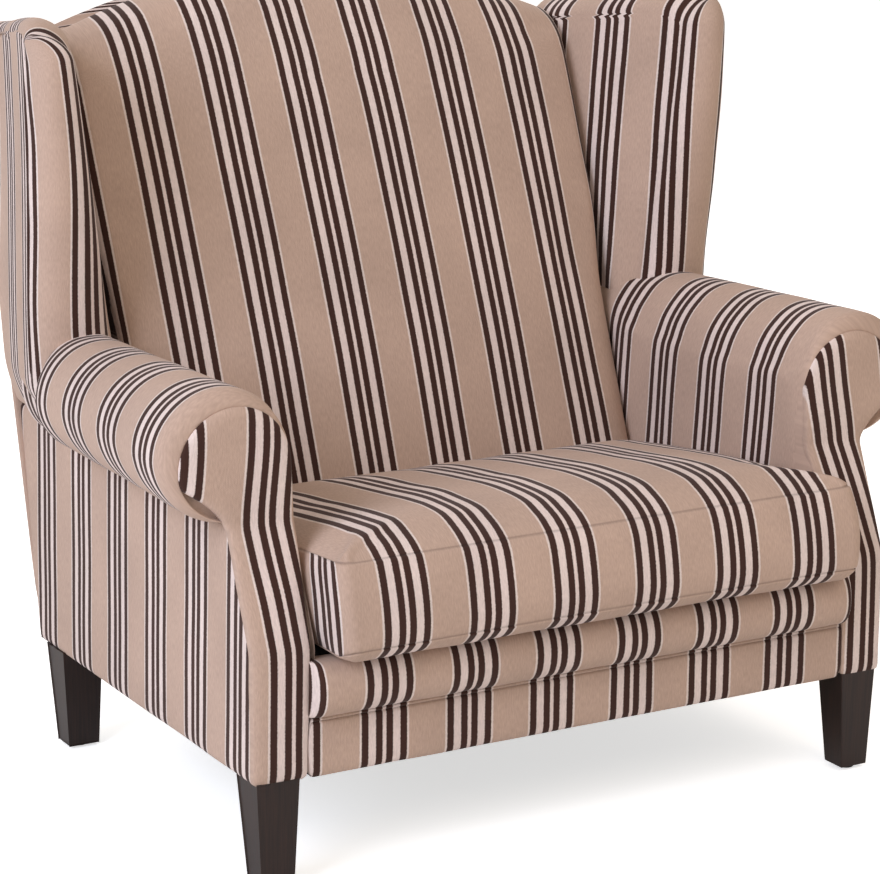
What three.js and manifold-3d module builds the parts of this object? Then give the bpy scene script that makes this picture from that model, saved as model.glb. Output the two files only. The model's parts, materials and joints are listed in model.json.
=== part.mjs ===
// A fireside chair for one and a half people: scroll arms, tall wings, a raked and arched
// back, a loose box cushion and four tapered square legs, on a hardwood frame with zigzag springs.
// Millimetres, +Z up, +X to the sitter's left as seen from the front. While it is built, y is 0
// at the front of the base and grows to the rear, and the whole chair is centred at the end.
import * as THREE from 'three';
import { mergeVertices } from 'three/addons/utils/BufferGeometryUtils.js';
import Module from 'manifold-3d';

const wasm = await Module();
wasm.setup();

// Fit between pieces
const touch = 0.3; // gap between pieces that rest on each other
const overrun = 20; // how far a cutter runs past what it cuts
const weldShare = 0.001; // points closer than this share of a gap are one point
const liftShare = 0.04; // a wider level starts this share above the narrower one below it

// Base and legs
const baseWidth = 978;
const baseDepth = 712;
const legHeight = 147;
const legTop = 58;
const legTaperSide = 7;
const legTaperFront = 2;
const legTaperRear = 16;
const rearLegInset = 38;
const legPinRadius = 11;
const legPinLength = 45;
const glideThick = 5;
const glideRadius = 14;
const glidePinRadius = 3;
const glidePinLength = 12;

// Hardwood frame
const railHeight = 70;
const railThick = 25;
const blockSize = 58;
const postThick = 30;
const postDepth = 60;
const postTopBelowArch = 142; // how far the back posts stop below the middle of the arch
const armBoardThick = 21;
const topRailHeight = 60;
const lowerRailHeight = 60;
const lowerRailLift = 60; // from the deck to the lower back rail
const wingBoardThick = 18;

// Covers of the outside
const panelThick = 10;
const wingPanelThick = 8;
const dustCoverThick = 1.2;
const dustCoverInset = 3;

// Zigzag springs and their clips
const springCount = 5;
const springSideRoom = 82; // from the middle of the outermost spring to the arm
const springWire = 4;
const springBends = 19;
const springHalfWidth = 26;
const springArch = 36;
const clipWidth = 14;
const clipThick = 1.5;
const clipLength = 20;
const clipFit = 0.4;

// Front border
const bandHeight = 77;
const lipHeight = 76;
const lipProud = 22;
const lipBehind = 8; // how far the lip's foot reaches back over the front rail
const lipTurnShare = 0.33; // share of the lip's height that each of its curves takes
const lipBellyShare = 0.47; // share of its height at which the lip is furthest forward
const deckThick = 38;

// Loose seat cushion
const cushionSideGap = 2; // between the cushion and each arm
const cushionSeamHeight = 112; // from the lower seam to the upper seam
const cushionTuck = 24; // from the lower seam down to the flat underside
const cushionCrown = 40;
const cushionFrontTop = 43; // how far the upper front seam stands proud of the base
const cushionFrontBottom = 66;
const cushionRearGap = 3;
const cushionCorner = 46;
const cushionDrawIn = 9; // how far each side pulls in between its corners
const cushionBulge = 7;
const cushionRearDrop = 60; // how much lower its upper seam lies at the rear
const cushionDropBend = 1.3; // above one, it slopes more towards the rear
const cushionSides = 12; // steps along each side of its outline
const crownShare = 0.8; // share of its half width over which the top rises

// Arms
const armInset = 87; // from the outer face of the base to the inner side of an arm
const armWallThick = 43;
const rollBottom = 465;
const rollRadiusFront = 91;
const rollRadiusRear = 84;
const rollEdge = 24; // depth of the rounded front edge of the roll
const rollSteps = 20;

// Facings at the front of the arms
const facingThick = 20;
const facingInset = 12; // facing radius against the roll
const kneeHeight = 319;
const neckAboveRoll = 5; // the neck, where the scroll starts, against the underside of the roll
const neckSetback = 63;
const scrollSetback = 68;
const facingFootGap = 15; // from the inner side of the arm out to the facing's inner edge at its foot
const facingKneeGap = 9;
const coveHeight = 68; // height of the hollow curve under the scroll
const coveBelowShare = 0.25; // share of that curve that lies below the neck
const coveBend = 1.7; // above 1, the curve turns outwards late
const scrollTopShare = 0.94; // share of the last quarter turn that the facing's top follows
const coveReachShare = 0.93; // where that curve meets the scroll, as a share of its radius

// Back
const backLean = 0.171; // run per rise of the outside back
const insideFoot = 452; // depth of the inside back where it meets the deck
const backTopThick = 96; // from the inside back to the outside back at the top of the arch
const backSideGap = 3; // between the back and each arm at the seat
const backOverArm = 13; // above the arms the back reaches this far over each
const backHeight = 1086;
const archRise = 78; // rise of the arch from its ends to its middle
const backCrown = 20;
const backSideRound = 34;
const backTopRound = 54; // height over which the top of the back rolls over
const backTopRun = 70; // how far it runs to the rear there
const backTopEase = 8; // rounding of its rear edge
const outsideTopDrop = 24; // the outside back stops this far below the arch

// Wings
const wingFrontLow = 513; // depth of the wing's front above the arm
const wingBulge = 25; // how much further forward it comes at the top
const wingBulgeShare = 0.77; // share of the wing's height at which it is furthest forward
const wingFrontDrop = 21; // the top of a wing lies this far below the arch at its front
const wingRearDrop = 66;
const wingCornerDrop = 30; // rounding of the upper front corner
const wingCornerRun = 70;
const wingCornerShare = 0.98; // below 1 keeps the rounding off the upright
const wingFlare = 0.245; // outward run per run to the front
const wingNose = 44;
const wingMouthLow = 30; // from the inner side of the arm out to the wing's inner edge, at the arm
const wingMouthHigh = 98;
const wingSeam = 487; // height of the seam between the wing and the side
const wingSwell = 78; // rise over which the wing swells out over the roll
const wingTopBand = 40; // cover between the board's top and the wing's top
const wingPillow = 8;
const wingNoseFullness = 0.8; // below 1 makes the nose blunter
const wingBackGap = 3; // between a wing's padding and the side of the back
const wingRootGap = 0.9; // behind the board and the panel of a wing
const ridgeShare = 0.82; // how far the rounded top of a wing draws in to its ridge

// Places worked out from the sizes
const neckHeight = rollBottom + neckAboveRoll;
const wingFull = wingSeam + wingSwell;
const wingTopFront = backHeight - wingFrontDrop;
const wingTopRear = backHeight - wingRearDrop;
const baseHalf = baseWidth / 2;
const armInner = baseHalf - armInset;
const facingFoot = armInner + facingFootGap;
const facingKnee = armInner + facingKneeGap;
const backHalfLow = armInner - backSideGap;
const backHalfHigh = armInner + backOverArm;
const frameOuter = baseHalf - panelThick - touch;
const frameFront = facingThick + touch;
const frameBottom = legHeight + touch;
const frameTop = frameBottom + railHeight;
const blockInner = frameOuter - blockSize;
const legInner = baseHalf - legTop;
const rearLegFront = baseDepth - rearLegInset - legTop;
const rearFrame = baseDepth - panelThick - touch;
const rearBlockFront = rearLegFront + touch;
const bandTop = frameBottom + bandHeight;
const lipTop = bandTop + lipHeight;
const deckTop = lipTop;
const deckBottom = deckTop - deckThick;
const boardTop = rollBottom - touch;
const boardBottom = boardTop - armBoardThick;
const postOuter = frameOuter - touch;
const postInner = postOuter - postThick;
const postTop = backHeight - postTopBelowArch;
const armWallTop = rollBottom + 2 * rollRadiusRear - armWallThick;
const wingRootX = postOuter + touch + wingBoardThick + touch + wingPanelThick;
const wingRootY = rearFrame + backLean * (wingSeam - legHeight) - wingRootGap;
const wingLayers = wingBoardThick + wingPanelThick + wingRootGap;
const backDeep = baseDepth + backLean * (backHeight - outsideTopDrop - legHeight);

// Between two values, by a share
const mix = THREE.MathUtils.lerp;
// Depth of the outer face of the outside back at a height
const outsideBackAt = (z) => baseDepth + backLean * (z - legHeight);
// Depth of the front face of the back posts at a height
const postFrontAt = (z) => outsideBackAt(z) - panelThick - touch - postDepth;
// Depth of the inside back's flat plane at a height: it rakes more than the outside
const insideTop = outsideBackAt(backHeight) - panelThick - backTopThick;
const insideBackAt = (z) => mix(insideFoot, insideTop, (z - deckTop) / (backHeight - deckTop));
// Height of the arched top of the back across the chair
const archAt = (x) => backHeight - archRise * (x / backHalfHigh) ** 2;
// Eases from 0 to 1 while t goes from 0 to 1
const ease = (t) => THREE.MathUtils.smoothstep(t, 0, 1);
// The nearest number from 0 to 1
const within = (t) => THREE.MathUtils.clamp(t, 0, 1);
// Evenly spaced numbers from a to b, both included
const spread = (a, b, steps) => Array.from({ length: steps + 1 }, (_, i) => mix(a, b, i / steps));

// Depth of the front face of an arm facing: upright, then raked back from knee to neck
function facingFrontAt(z) {
  if (z <= kneeHeight) return 0;
  if (z <= neckHeight) return (neckSetback * (z - kneeHeight)) / (neckHeight - kneeHeight);
  return mix(neckSetback, scrollSetback, ease((z - neckHeight) / rollRadiusFront));
}

// Radius of the arm roll at a depth: it tapers towards the wing
function rollRadiusAt(y) {
  const t = (y - scrollSetback) / (wingFrontLow - scrollSetback);
  return mix(rollRadiusFront, rollRadiusRear, within(t));
}

const finish = (color, roughness, metalness = 0) =>
  new THREE.MeshStandardMaterial({ color, roughness, metalness });
const materials = {
  fabric: finish(0xbaa18e, 0.95),
  lining: finish(0x2b2927, 0.95),
  ebonised: finish(0x2a1d18, 0.4),
  beech: finish(0xc9a577, 0.7),
  steel: finish(0x8d9094, 0.35, 1),
  plastic: finish(0x1b1b1b, 0.5),
};

const chair = new THREE.Group();

// Adds a named piece to the chair and returns its mesh
function piece(name, geometry, material, place = [0, 0, 0]) {
  const mesh = new THREE.Mesh(geometry, materials[material]);
  mesh.name = name;
  mesh.position.set(...place);
  chair.add(mesh);
  return mesh;
}

// The same shape on the other side of the chair
function mirrored(geometry) {
  const copy = (geometry.index ? geometry.toNonIndexed() : geometry.clone()).scale(-1, 1, 1);
  const place = copy.getAttribute('position');
  const [a, b] = [new THREE.Vector3(), new THREE.Vector3()];
  for (let i = 0; i < place.count; i += 3) {
    a.fromBufferAttribute(place, i);
    b.fromBufferAttribute(place, i + 1);
    place.setXYZ(i, b.x, b.y, b.z);
    place.setXYZ(i + 1, a.x, a.y, a.z);
  }
  copy.computeVertexNormals();
  return copy;
}

// Adds a piece on the right side and its mirror image on the left
function pair(name, geometry, material) {
  piece(`${name}_right`, geometry, material);
  piece(`${name}_left`, mirrored(geometry), material);
}

// A box between two corners
function slab(x0, x1, y0, y1, z0, z1) {
  const box = new THREE.BoxGeometry(x1 - x0, y1 - y0, z1 - z0);
  return box.translate((x0 + x1) / 2, (y0 + y1) / 2, (z0 + z1) / 2);
}

// A flat outline through points
const outlineOf = (points) => new THREE.Shape(points.map((point) => new THREE.Vector2(...point)));

// A board whose outline is drawn in depth and height, and whose thickness runs from x0 to x1
function profileBoard(points, x0, x1, curveSegments = 8) {
  const shape = Array.isArray(points) ? outlineOf(points) : points;
  const body = new THREE.ExtrudeGeometry(shape, { depth: x1 - x0, bevelEnabled: false, curveSegments });
  const turn = new THREE.Matrix4().makeBasis(
    new THREE.Vector3(0, 1, 0), new THREE.Vector3(0, 0, 1), new THREE.Vector3(1, 0, 0));
  return body.applyMatrix4(turn).translate(x0, 0, 0);
}

// Triangles that close one end ring, seen in the plane in which the ring covers the most
function capTriangles(ring) {
  const views = [['x', 'y'], ['x', 'z'], ['y', 'z']].map(([u, v]) =>
    ring.map((point) => new THREE.Vector2(point[u], point[v])));
  const covered = (view) => Math.abs(THREE.ShapeUtils.area(view));
  const flat = views.reduce((best, view) => (covered(view) > covered(best) ? view : best));
  return THREE.ShapeUtils.triangulateShape(flat, []).map((face) => {
    const [a, b, c] = face.map((i) => flat[i]);
    const turned = (b.x - a.x) * (c.y - a.y) - (b.y - a.y) * (c.x - a.x);
    return turned * THREE.ShapeUtils.area(flat) < 0 ? [face[0], face[2], face[1]] : face;
  });
}

// A closed skin over rings that have the same number of points each
function skin(rings) {
  const count = rings[0].length;
  const points = rings.flat();
  const faces = [];
  for (let k = 0; k + 1 < rings.length; k++) {
    for (let i = 0; i < count; i++) {
      const [a, b] = [k * count + i, k * count + ((i + 1) % count)];
      faces.push(a, b, b + count, a, b + count, a + count);
    }
  }
  const last = (rings.length - 1) * count;
  for (const [a, b, c] of capTriangles(rings[0])) faces.push(a, c, b);
  for (const [a, b, c] of capTriangles(rings[rings.length - 1])) faces.push(last + a, last + b, last + c);
  return outward(points, faces);
}

// Turns all faces outwards when their signed volume says that they point in
function outward(points, faces) {
  const volume = (list) => {
    let sum = 0;
    for (let i = 0; i < list.length; i += 3) {
      const [a, b, c] = [points[list[i]], points[list[i + 1]], points[list[i + 2]]];
      sum += a.dot(b.clone().cross(c));
    }
    return sum;
  };
  const order = volume(faces) < 0 ? faces.slice().reverse() : faces;
  const body = new THREE.BufferGeometry().setFromPoints(points);
  body.setIndex(order);
  body.computeVertexNormals();
  return body;
}

// A closed geometry as a solid that can be joined or cut
function solid(geometry) {
  const bare = geometry.clone();
  bare.deleteAttribute('normal');
  bare.deleteAttribute('uv');
  const merged = mergeVertices(bare, touch * weldShare);
  return new wasm.Manifold(new wasm.Mesh({
    numProp: 3,
    vertProperties: new Float32Array(merged.getAttribute('position').array),
    triVerts: new Uint32Array(merged.index.array),
  }));
}

// A cut solid as a geometry
function geometryOf(body) {
  const mesh = body.getMesh();
  const result = new THREE.BufferGeometry();
  result.setAttribute('position', new THREE.BufferAttribute(new Float32Array(mesh.vertProperties), 3));
  result.setIndex(new THREE.BufferAttribute(new Uint32Array(mesh.triVerts), 1));
  result.computeVertexNormals();
  return result;
}

const cut = (geometry, ...tools) =>
  geometryOf(tools.reduce((rest, tool) => rest.subtract(solid(tool)), solid(geometry)));

// A round rod that stands upright
function rod(radius, z0, z1, x, y, sides = 16) {
  const body = new THREE.CylinderGeometry(radius, radius, z1 - z0, sides).rotateX(Math.PI / 2);
  return body.translate(x, y, (z0 + z1) / 2);
}

// One tapered leg with the dowel on its top, as seen at the right side of the chair
function leg(front) {
  const foot = glideThick + touch;
  const ring = (z, side, ahead, behind) => [
    [legInner + side, front + ahead], [baseHalf - side, front + ahead],
    [baseHalf - side, front + legTop - behind], [legInner + side, front + legTop - behind],
  ].map(([x, y]) => new THREE.Vector3(x, y, z));
  const [x, y] = legPinAt(front);
  const ends = [ring(foot, legTaperSide, legTaperFront, legTaperRear), ring(legHeight, 0, 0, 0)];
  const body = solid(skin(ends));
  const dowel = solid(rod(legPinRadius, legHeight - legPinRadius, legHeight + legPinLength, x, y));
  const [gx, gy] = glideAt(front);
  const hole = solid(rod(glidePinRadius + touch, 0, foot + glidePinLength + touch, gx, gy, 10));
  return geometryOf(body.add(dowel).subtract(hole));
}

// Middle of the dowel on a leg's top, which stands under its corner block
const legPinAt = (front) => [blockInner + blockSize / 2, front + legTop / 2 + frameFront / 2];
// Middle of a leg's foot
const glideAt = (front) => [(legInner + baseHalf) / 2, front + (legTaperFront + legTop - legTaperRear) / 2];

// Hard plastic glide with the pin that holds it in the leg's foot
function glide(front) {
  const [x, y] = glideAt(front);
  const pad = new THREE.CylinderGeometry(glideRadius, glideRadius - glideThick / 2, glideThick, 24);
  const disc = pad.rotateX(Math.PI / 2).translate(x, y, glideThick / 2);
  const pin = rod(glidePinRadius, glideThick / 2, glideThick + glidePinLength, x, y, 10);
  return geometryOf(solid(disc).add(solid(pin)));
}

// Corner block with the hole for the leg's dowel
function cornerBlock(front, y0, y1) {
  const [x, y] = legPinAt(front);
  const bore = rod(legPinRadius + touch, frameBottom - overrun, frameBottom + legPinLength + touch, x, y);
  return cut(slab(blockInner, frameOuter, y0, y1, frameBottom, frameTop), bore);
}

function addLegs() {
  const corners = [
    ['front', 0, frameFront, frameFront + blockSize],
    ['rear', rearLegFront, rearBlockFront, rearFrame],
  ];
  for (const [end, front, y0, y1] of corners) {
    pair(`leg_${end}`, leg(front), 'ebonised');
    pair(`leg_glide_${end}`, glide(front), 'plastic');
    pair(`corner_block_${end}`, cornerBlock(front, y0, y1), 'beech');
  }
}

function addSeatFrame() {
  const blockBack = frameFront + blockSize + touch;
  const span = 2 * (blockInner - touch);
  const across = new THREE.BoxGeometry(span, railThick, railHeight);
  const middle = frameBottom + railHeight / 2;
  piece('seat_rail_front', across, 'beech', [0, frameFront + railThick / 2, middle]);
  piece('seat_rail_rear', across.clone(), 'beech', [0, rearFrame - railThick / 2, middle]);
  const [inner, rear] = [frameOuter - railThick, rearBlockFront - touch];
  pair('seat_rail_side', slab(inner, frameOuter, blockBack, rear, frameBottom, frameTop), 'beech');
}

// Front post of an arm: its front edge follows the rake of the facing
function armPost() {
  const foot = frameTop + touch;
  const top = boardBottom - touch;
  const front = (z) => facingFrontAt(z) + facingThick + touch;
  return profileBoard([
    [front(foot), foot], [front(kneeHeight), kneeHeight],
    [front(top), top], [front(top) + postDepth, top],
    [front(kneeHeight) + postDepth, kneeHeight], [front(foot) + postDepth, foot],
  ], postInner, postOuter);
}

// Back post: stands on the rear corner block and leans with the outside back
function backPost(grow = 0) {
  const [foot, top] = [frameTop + touch - grow, postTop + grow];
  const front = (z) => postFrontAt(z) - grow;
  const rear = (z) => postFrontAt(z) + postDepth + grow;
  const outline = [[front(foot), foot], [rear(foot), foot], [rear(top), top], [front(top), top]];
  return profileBoard(outline, postInner - grow, postOuter + grow);
}

// Flat rail between the back posts, from one height to another
function backRail(z0, z1) {
  const front = (z) => postFrontAt(z) + touch;
  return profileBoard([
    [front(z0), z0], [front(z0) + railThick, z0], [front(z1) + railThick, z1], [front(z1), z1],
  ], touch - postInner, postInner - touch);
}

function addUpperFrame() {
  pair('arm_post', armPost(), 'beech');
  pair('back_post', backPost(), 'beech');
  const front = facingFrontAt(boardTop) + facingThick + touch;
  const rear = postFrontAt(boardBottom) - touch;
  pair('arm_board', slab(postInner, postOuter, front, rear, boardBottom, boardTop), 'beech');
  const low = deckTop + lowerRailLift;
  piece('back_rail_lower', backRail(low, low + lowerRailHeight), 'beech');
  piece('back_rail_top', backRail(postTop - topRailHeight, postTop), 'beech');
}

// Height of the middle of a spring's wire at its ends, where the clips hold it
const wireHeight = frameTop + touch + clipThick + clipFit + springWire / 2;
const wireFront = frameFront + railThick + springWire;
const wireRear = rearFrame - railThick - springWire;

// One zigzag spring: an unbroken wire of straight bars joined by round turns, which arches up
function zigzag() {
  const pitch = (wireRear - wireFront) / springBends;
  const bar = springHalfWidth - pitch / 2;
  const path = spread(0, springBends, springBends).flatMap((k) => {
    const side = k % 2 ? -1 : 1;
    const line = [[-side * bar, k], [side * bar, k]];
    const turn = [Math.PI / 3, (2 * Math.PI) / 3].map((angle) =>
      [side * (bar + (pitch / 2) * Math.sin(angle)), k + (1 - Math.cos(angle)) / 2]);
    return k < springBends ? [...line, ...turn] : line;
  });
  const rise = (k) => springArch * Math.sin((Math.PI * k) / springBends);
  const points = path.map(([x, k]) => new THREE.Vector3(x, wireFront + pitch * k, wireHeight + rise(k)));
  return wire(points, springWire / 2, 5);
}

// A round wire along a path that never runs straight up
function wire(path, radius, sides) {
  const up = new THREE.Vector3(0, 0, 1);
  return skin(path.map((point, i) => {
    const [before, after] = [path[Math.max(i - 1, 0)], path[Math.min(i + 1, path.length - 1)]];
    const ahead = after.clone().sub(before).normalize();
    const across = up.clone().cross(ahead).normalize();
    const over = ahead.clone().cross(across);
    return spread(0, 2 * Math.PI, sides).slice(0, sides).map((angle) => point.clone()
      .addScaledVector(across, radius * Math.cos(angle)).addScaledVector(over, radius * Math.sin(angle)));
  }));
}

// A strip of steel that lies on the rail and folds back over the end bar of a spring
function clip() {
  const inner = springWire / 2 + clipFit;
  const outer = inner + clipThick;
  const shape = new THREE.Shape();
  shape.moveTo(-clipLength, -outer);
  shape.lineTo(0, -outer);
  shape.absarc(0, 0, outer, -Math.PI / 2, Math.PI / 2, false);
  shape.lineTo(-clipLength / 2, outer);
  shape.lineTo(-clipLength / 2, inner);
  shape.lineTo(0, inner);
  shape.absarc(0, 0, inner, Math.PI / 2, -Math.PI / 2, true);
  shape.lineTo(-clipLength, -inner);
  return profileBoard(shape, -clipWidth / 2, clipWidth / 2, 5);
}

function addSprings() {
  for (let k = 0; k < springCount; k++) {
    const x = mix(springSideRoom - armInner, armInner - springSideRoom, k / (springCount - 1));
    piece(`zigzag_spring_${k + 1}`, zigzag(), 'steel', [x, 0, 0]);
    piece(`spring_clip_front_${k + 1}`, clip(), 'steel', [x, wireFront, wireHeight]);
    const rear = piece(`spring_clip_rear_${k + 1}`, clip(), 'steel', [x, wireRear, wireHeight]);
    rear.rotation.z = Math.PI;
  }
}

// Outline of the dust cover: the underside of the base less the squares where the legs stand
function dustCover() {
  const side = baseHalf - dustCoverInset;
  const notch = legInner - dustCoverInset;
  const stations = [
    [dustCoverInset, notch], [legTop + dustCoverInset, notch], [legTop + dustCoverInset, side],
    [rearLegFront - dustCoverInset, side], [rearLegFront - dustCoverInset, notch],
    [baseDepth - dustCoverInset, notch],
  ];
  const outline = [...stations.map(([y, x]) => [x, y]), ...stations.map(([y, x]) => [-x, y]).reverse()];
  const depth = dustCoverThick;
  const sheet = new THREE.ExtrudeGeometry(outlineOf(outline), { depth, bevelEnabled: false });
  return sheet.translate(0, 0, legHeight - depth);
}

// Rounded lip of the front border, which the cushion overhangs
function borderLip() {
  const rear = frameFront + lipBehind;
  const shape = new THREE.Shape();
  const [low, high] = [bandTop + touch, lipTop];
  const [turn, belly] = [lipHeight * lipTurnShare, lipHeight * lipBellyShare];
  const [fold, back] = [lipProud * lipTurnShare, rear * lipTurnShare];
  shape.moveTo(rear, low);
  shape.lineTo(0, low);
  shape.bezierCurveTo(-lipProud, low, -lipProud, low + turn, -lipProud, low + belly);
  shape.bezierCurveTo(-lipProud, high - turn * lipTurnShare, -fold, high, back, high);
  shape.lineTo(rear, high);
  const [under, over] = [low - overrun, high + overrun];
  const notch = slab(armInner - touch, facingKnee, facingThick, rear + overrun, under, over);
  return cut(profileBoard(shape, touch - facingKnee, facingKnee - touch, 8), notch, mirrored(notch));
}

function addBorder() {
  const half = facingKnee - touch;
  piece('border_band_front', slab(-half, half, 0, facingThick, frameBottom, bandTop), 'fabric');
  piece('border_lip_front', borderLip(), 'fabric');
  const [side, front, rear] = [armInner - touch, frameFront + lipBehind + touch, rearFrame - railThick];
  piece('seat_deck_pad', slab(-side, side, front, rear, deckBottom, deckTop - touch), 'lining');
  piece('dust_cover', dustCover(), 'lining');
}

// Section of an arm roll across the chair: upright inside, flat below, and round elsewhere
function rollSection(y, radius, grow = 0) {
  const [cx, cz] = [armInner + radius, rollBottom + radius];
  const wide = radius + grow;
  const arc = spread(Math.PI, -Math.PI / 2, rollSteps).map((angle) =>
    [cx + wide * Math.cos(angle), cz + wide * Math.sin(angle)]);
  return [[armInner - grow, rollBottom - grow], ...arc].map(([x, z]) => new THREE.Vector3(x, y, z));
}

// Everything ahead of the back face of the facings, plus a gap
function aheadOfFacing(gap) {
  const high = rollBottom + 2 * rollRadiusFront + overrun;
  const heights = [0, kneeHeight, ...spread(neckHeight, neckHeight + rollRadiusFront, 4), high];
  const line = heights.map((z) => [facingFrontAt(z) + facingThick + gap, z]);
  const far = -lipProud - overrun;
  return profileBoard([[far, 0], ...line, [far, high]], 0, baseHalf * 2);
}

// Scroll roll of an arm: a round edge behind the facing, then a taper to the wing
function armRoll(grow = 0) {
  const start = scrollSetback + facingThick + touch;
  const edge = spread(0, 1, 4).map((t) => [
    start + rollEdge * (1 - Math.cos((t * Math.PI) / 2)),
    rollRadiusFront - facingInset * (1 - Math.sin((t * Math.PI) / 2)),
  ]);
  const body = spread(start + 2 * rollEdge, wingRollEnd - touch + grow, 4).map((y) => [y, rollRadiusAt(y)]);
  const stations = [[facingThick, rollRadiusFront - facingInset], ...edge, ...body];
  return skin(stations.map(([y, radius]) => rollSection(y, radius, grow)));
}

// Upright wall of the inside arm: low under the roll, higher where it runs on beside the back
function insideArm(grow = 0) {
  const [foot, step] = [frameTop + touch, rollBottom - touch];
  const front = (z) => facingFrontAt(z) + facingThick + touch;
  const [rear, round] = [postFrontAt(foot) - touch, armWallThick / 2];
  return profileBoard([
    [front(foot), foot], [rear + grow, foot], [postFrontAt(armWallTop) - touch + grow, armWallTop + grow],
    [wingRollEnd + round - grow, armWallTop + grow], [wingRollEnd + touch - grow, armWallTop - round],
    [wingRollEnd + touch - grow, step], [front(step), step], [front(kneeHeight), kneeHeight],
  ], armInner - grow, armInner + armWallThick + grow);
}

// Height at which the hollow curve under the scroll starts
const coveFoot = neckHeight - coveHeight * coveBelowShare;

// Inner and outer edge of a facing at a height
function facingEdges(z) {
  const radius = rollRadiusFront - facingInset;
  const [cx, cz] = [armInner + radius + touch, rollBottom + radius + touch];
  const reach = Math.sqrt(Math.max(radius ** 2 - (z - cz) ** 2, 0));
  const inner = z > cz ? cx - reach : mixEdges(z);
  const cove = within((z - coveFoot) / coveHeight);
  const outer = cove >= 1 ? cx + reach : mix(baseHalf, cx + radius * coveReachShare, cove ** coveBend);
  return [inner, outer];
}
// Inner edge of a facing below its scroll: from the foot to the knee, then to the neck
function mixEdges(z) {
  const neck = armInner + touch;
  const low = (z - frameBottom) / (kneeHeight - frameBottom);
  const high = (z - kneeHeight) / (neckHeight - kneeHeight);
  return z < kneeHeight ? mix(facingFoot, facingKnee, ease(low)) : mix(facingKnee, neck, ease(high));
}

// Scroll facing: one padded board from the foot of the base to the top of the scroll
function facing() {
  const radius = rollRadiusFront - facingInset;
  const crest = rollBottom + 2 * radius + touch;
  const middle = crest - radius;
  const topTurn = (scrollTopShare * Math.PI) / 2;
  const heights = [
    ...spread(frameBottom, kneeHeight, 3), ...spread(kneeHeight, coveFoot, 3).slice(1),
    ...spread(coveFoot, middle, 7).slice(1),
    ...spread(0, topTurn, 9).slice(1).map((a) => middle + radius * Math.sin(a)),
  ];
  return skin(heights.map((z) => {
    const [inner, outer] = facingEdges(z);
    const front = facingFrontAt(z);
    return [[inner, front], [outer, front], [outer, front + facingThick], [inner, front + facingThick]]
      .map(([x, y]) => new THREE.Vector3(x, y, z));
  }));
}

// Outside panel of the base and arm: it runs up behind the roll to the seam under the wing
function sidePanel() {
  const [foot, step, top] = [frameBottom, rollBottom - touch, wingSeam - touch];
  const front = (z) => facingFrontAt(z) + facingThick + touch;
  const rear = (z) => outsideBackAt(z) - panelThick - touch;
  return profileBoard([
    [front(foot), foot], [rear(foot), foot], [rear(top), top], [wingRollEnd + touch, top],
    [wingRollEnd + touch, step], [front(step), step], [front(kneeHeight), kneeHeight],
  ], baseHalf - panelThick, baseHalf);
}

function addArms() {
  const roll = solid(armRoll()).subtract(solid(aheadOfFacing(touch)));
  pair('arm_roll', geometryOf(roll), 'fabric');
  pair('inside_arm', insideArm(), 'fabric');
  pair('arm_facing', facing(), 'fabric');
  pair('side_panel', sidePanel(), 'fabric');
}

// Depth of the wing's front, which comes forward towards the top
function wingFrontAt(z) {
  const bulge = ease((z - wingFull) / ((wingTopFront - wingFull) * wingBulgeShare));
  const corner = within((z - wingTopFront + wingTopBand) / wingTopBand);
  const setback = wingTopBand * (1 - Math.sqrt(1 - corner ** 2 * wingCornerShare));
  return wingFrontLow - wingBulge * bulge + setback;
}
// The roll ends against the wing's front cover
const wingRollEnd = wingFrontAt(rollBottom + 2 * rollRadiusRear) + wingNose;
// Height of the wing's top at a depth, with its rounded front corner
function wingTopAt(y) {
  const start = wingFrontAt(wingTopFront);
  const slope = mix(wingTopFront, wingTopRear, (y - start) / (backDeep - start));
  const near = within(1 - (y - start) / wingCornerRun);
  return slope - wingCornerDrop * (1 - Math.sqrt(1 - near ** 2 * wingCornerShare));
}
// Distance of the wing's outer face from the middle: it swells over the roll, then flares
function wingOuterAt(y, z) {
  const flared = wingRootX + wingFlare * Math.max(wingRootY - y, 0);
  return mix(baseHalf, flared, Math.sin((Math.PI / 2) * within((z - wingSeam) / (wingFull - wingSeam))));
}
// Distance of the wing's inner face from the middle at a depth and height
function wingInnerAt(y, z) {
  const front = wingFrontAt(z) + wingNose;
  const low = neckHeight + rollRadiusFront;
  const high = within((z - low) / (wingTopFront - low));
  const mouth = armInner + mix(wingMouthLow, wingMouthHigh, high);
  const rear = insideBackAt(z) + backSideRound;
  const t = within((rear - y) / (rear - front));
  return mix(backHalfHigh + wingBackGap, mouth, t) - wingPillow * Math.sin(Math.PI * t);
}

// Real height of a point of the wing: above the arm, levels follow the shape of the top
function wingHeightAt(y, z) {
  if (z <= wingFull) return z;
  return z + (wingTopAt(y) - wingTopFront) * ((z - wingFull) / (wingTopFront - wingFull));
}

// Depth at which a level of the wing meets a leaning plane
function wingRearAt(z, planeAt) {
  let y = planeAt(z);
  for (let pass = 0; pass < 4; pass++) y = planeAt(wingHeightAt(y, z));
  return y;
}

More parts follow.
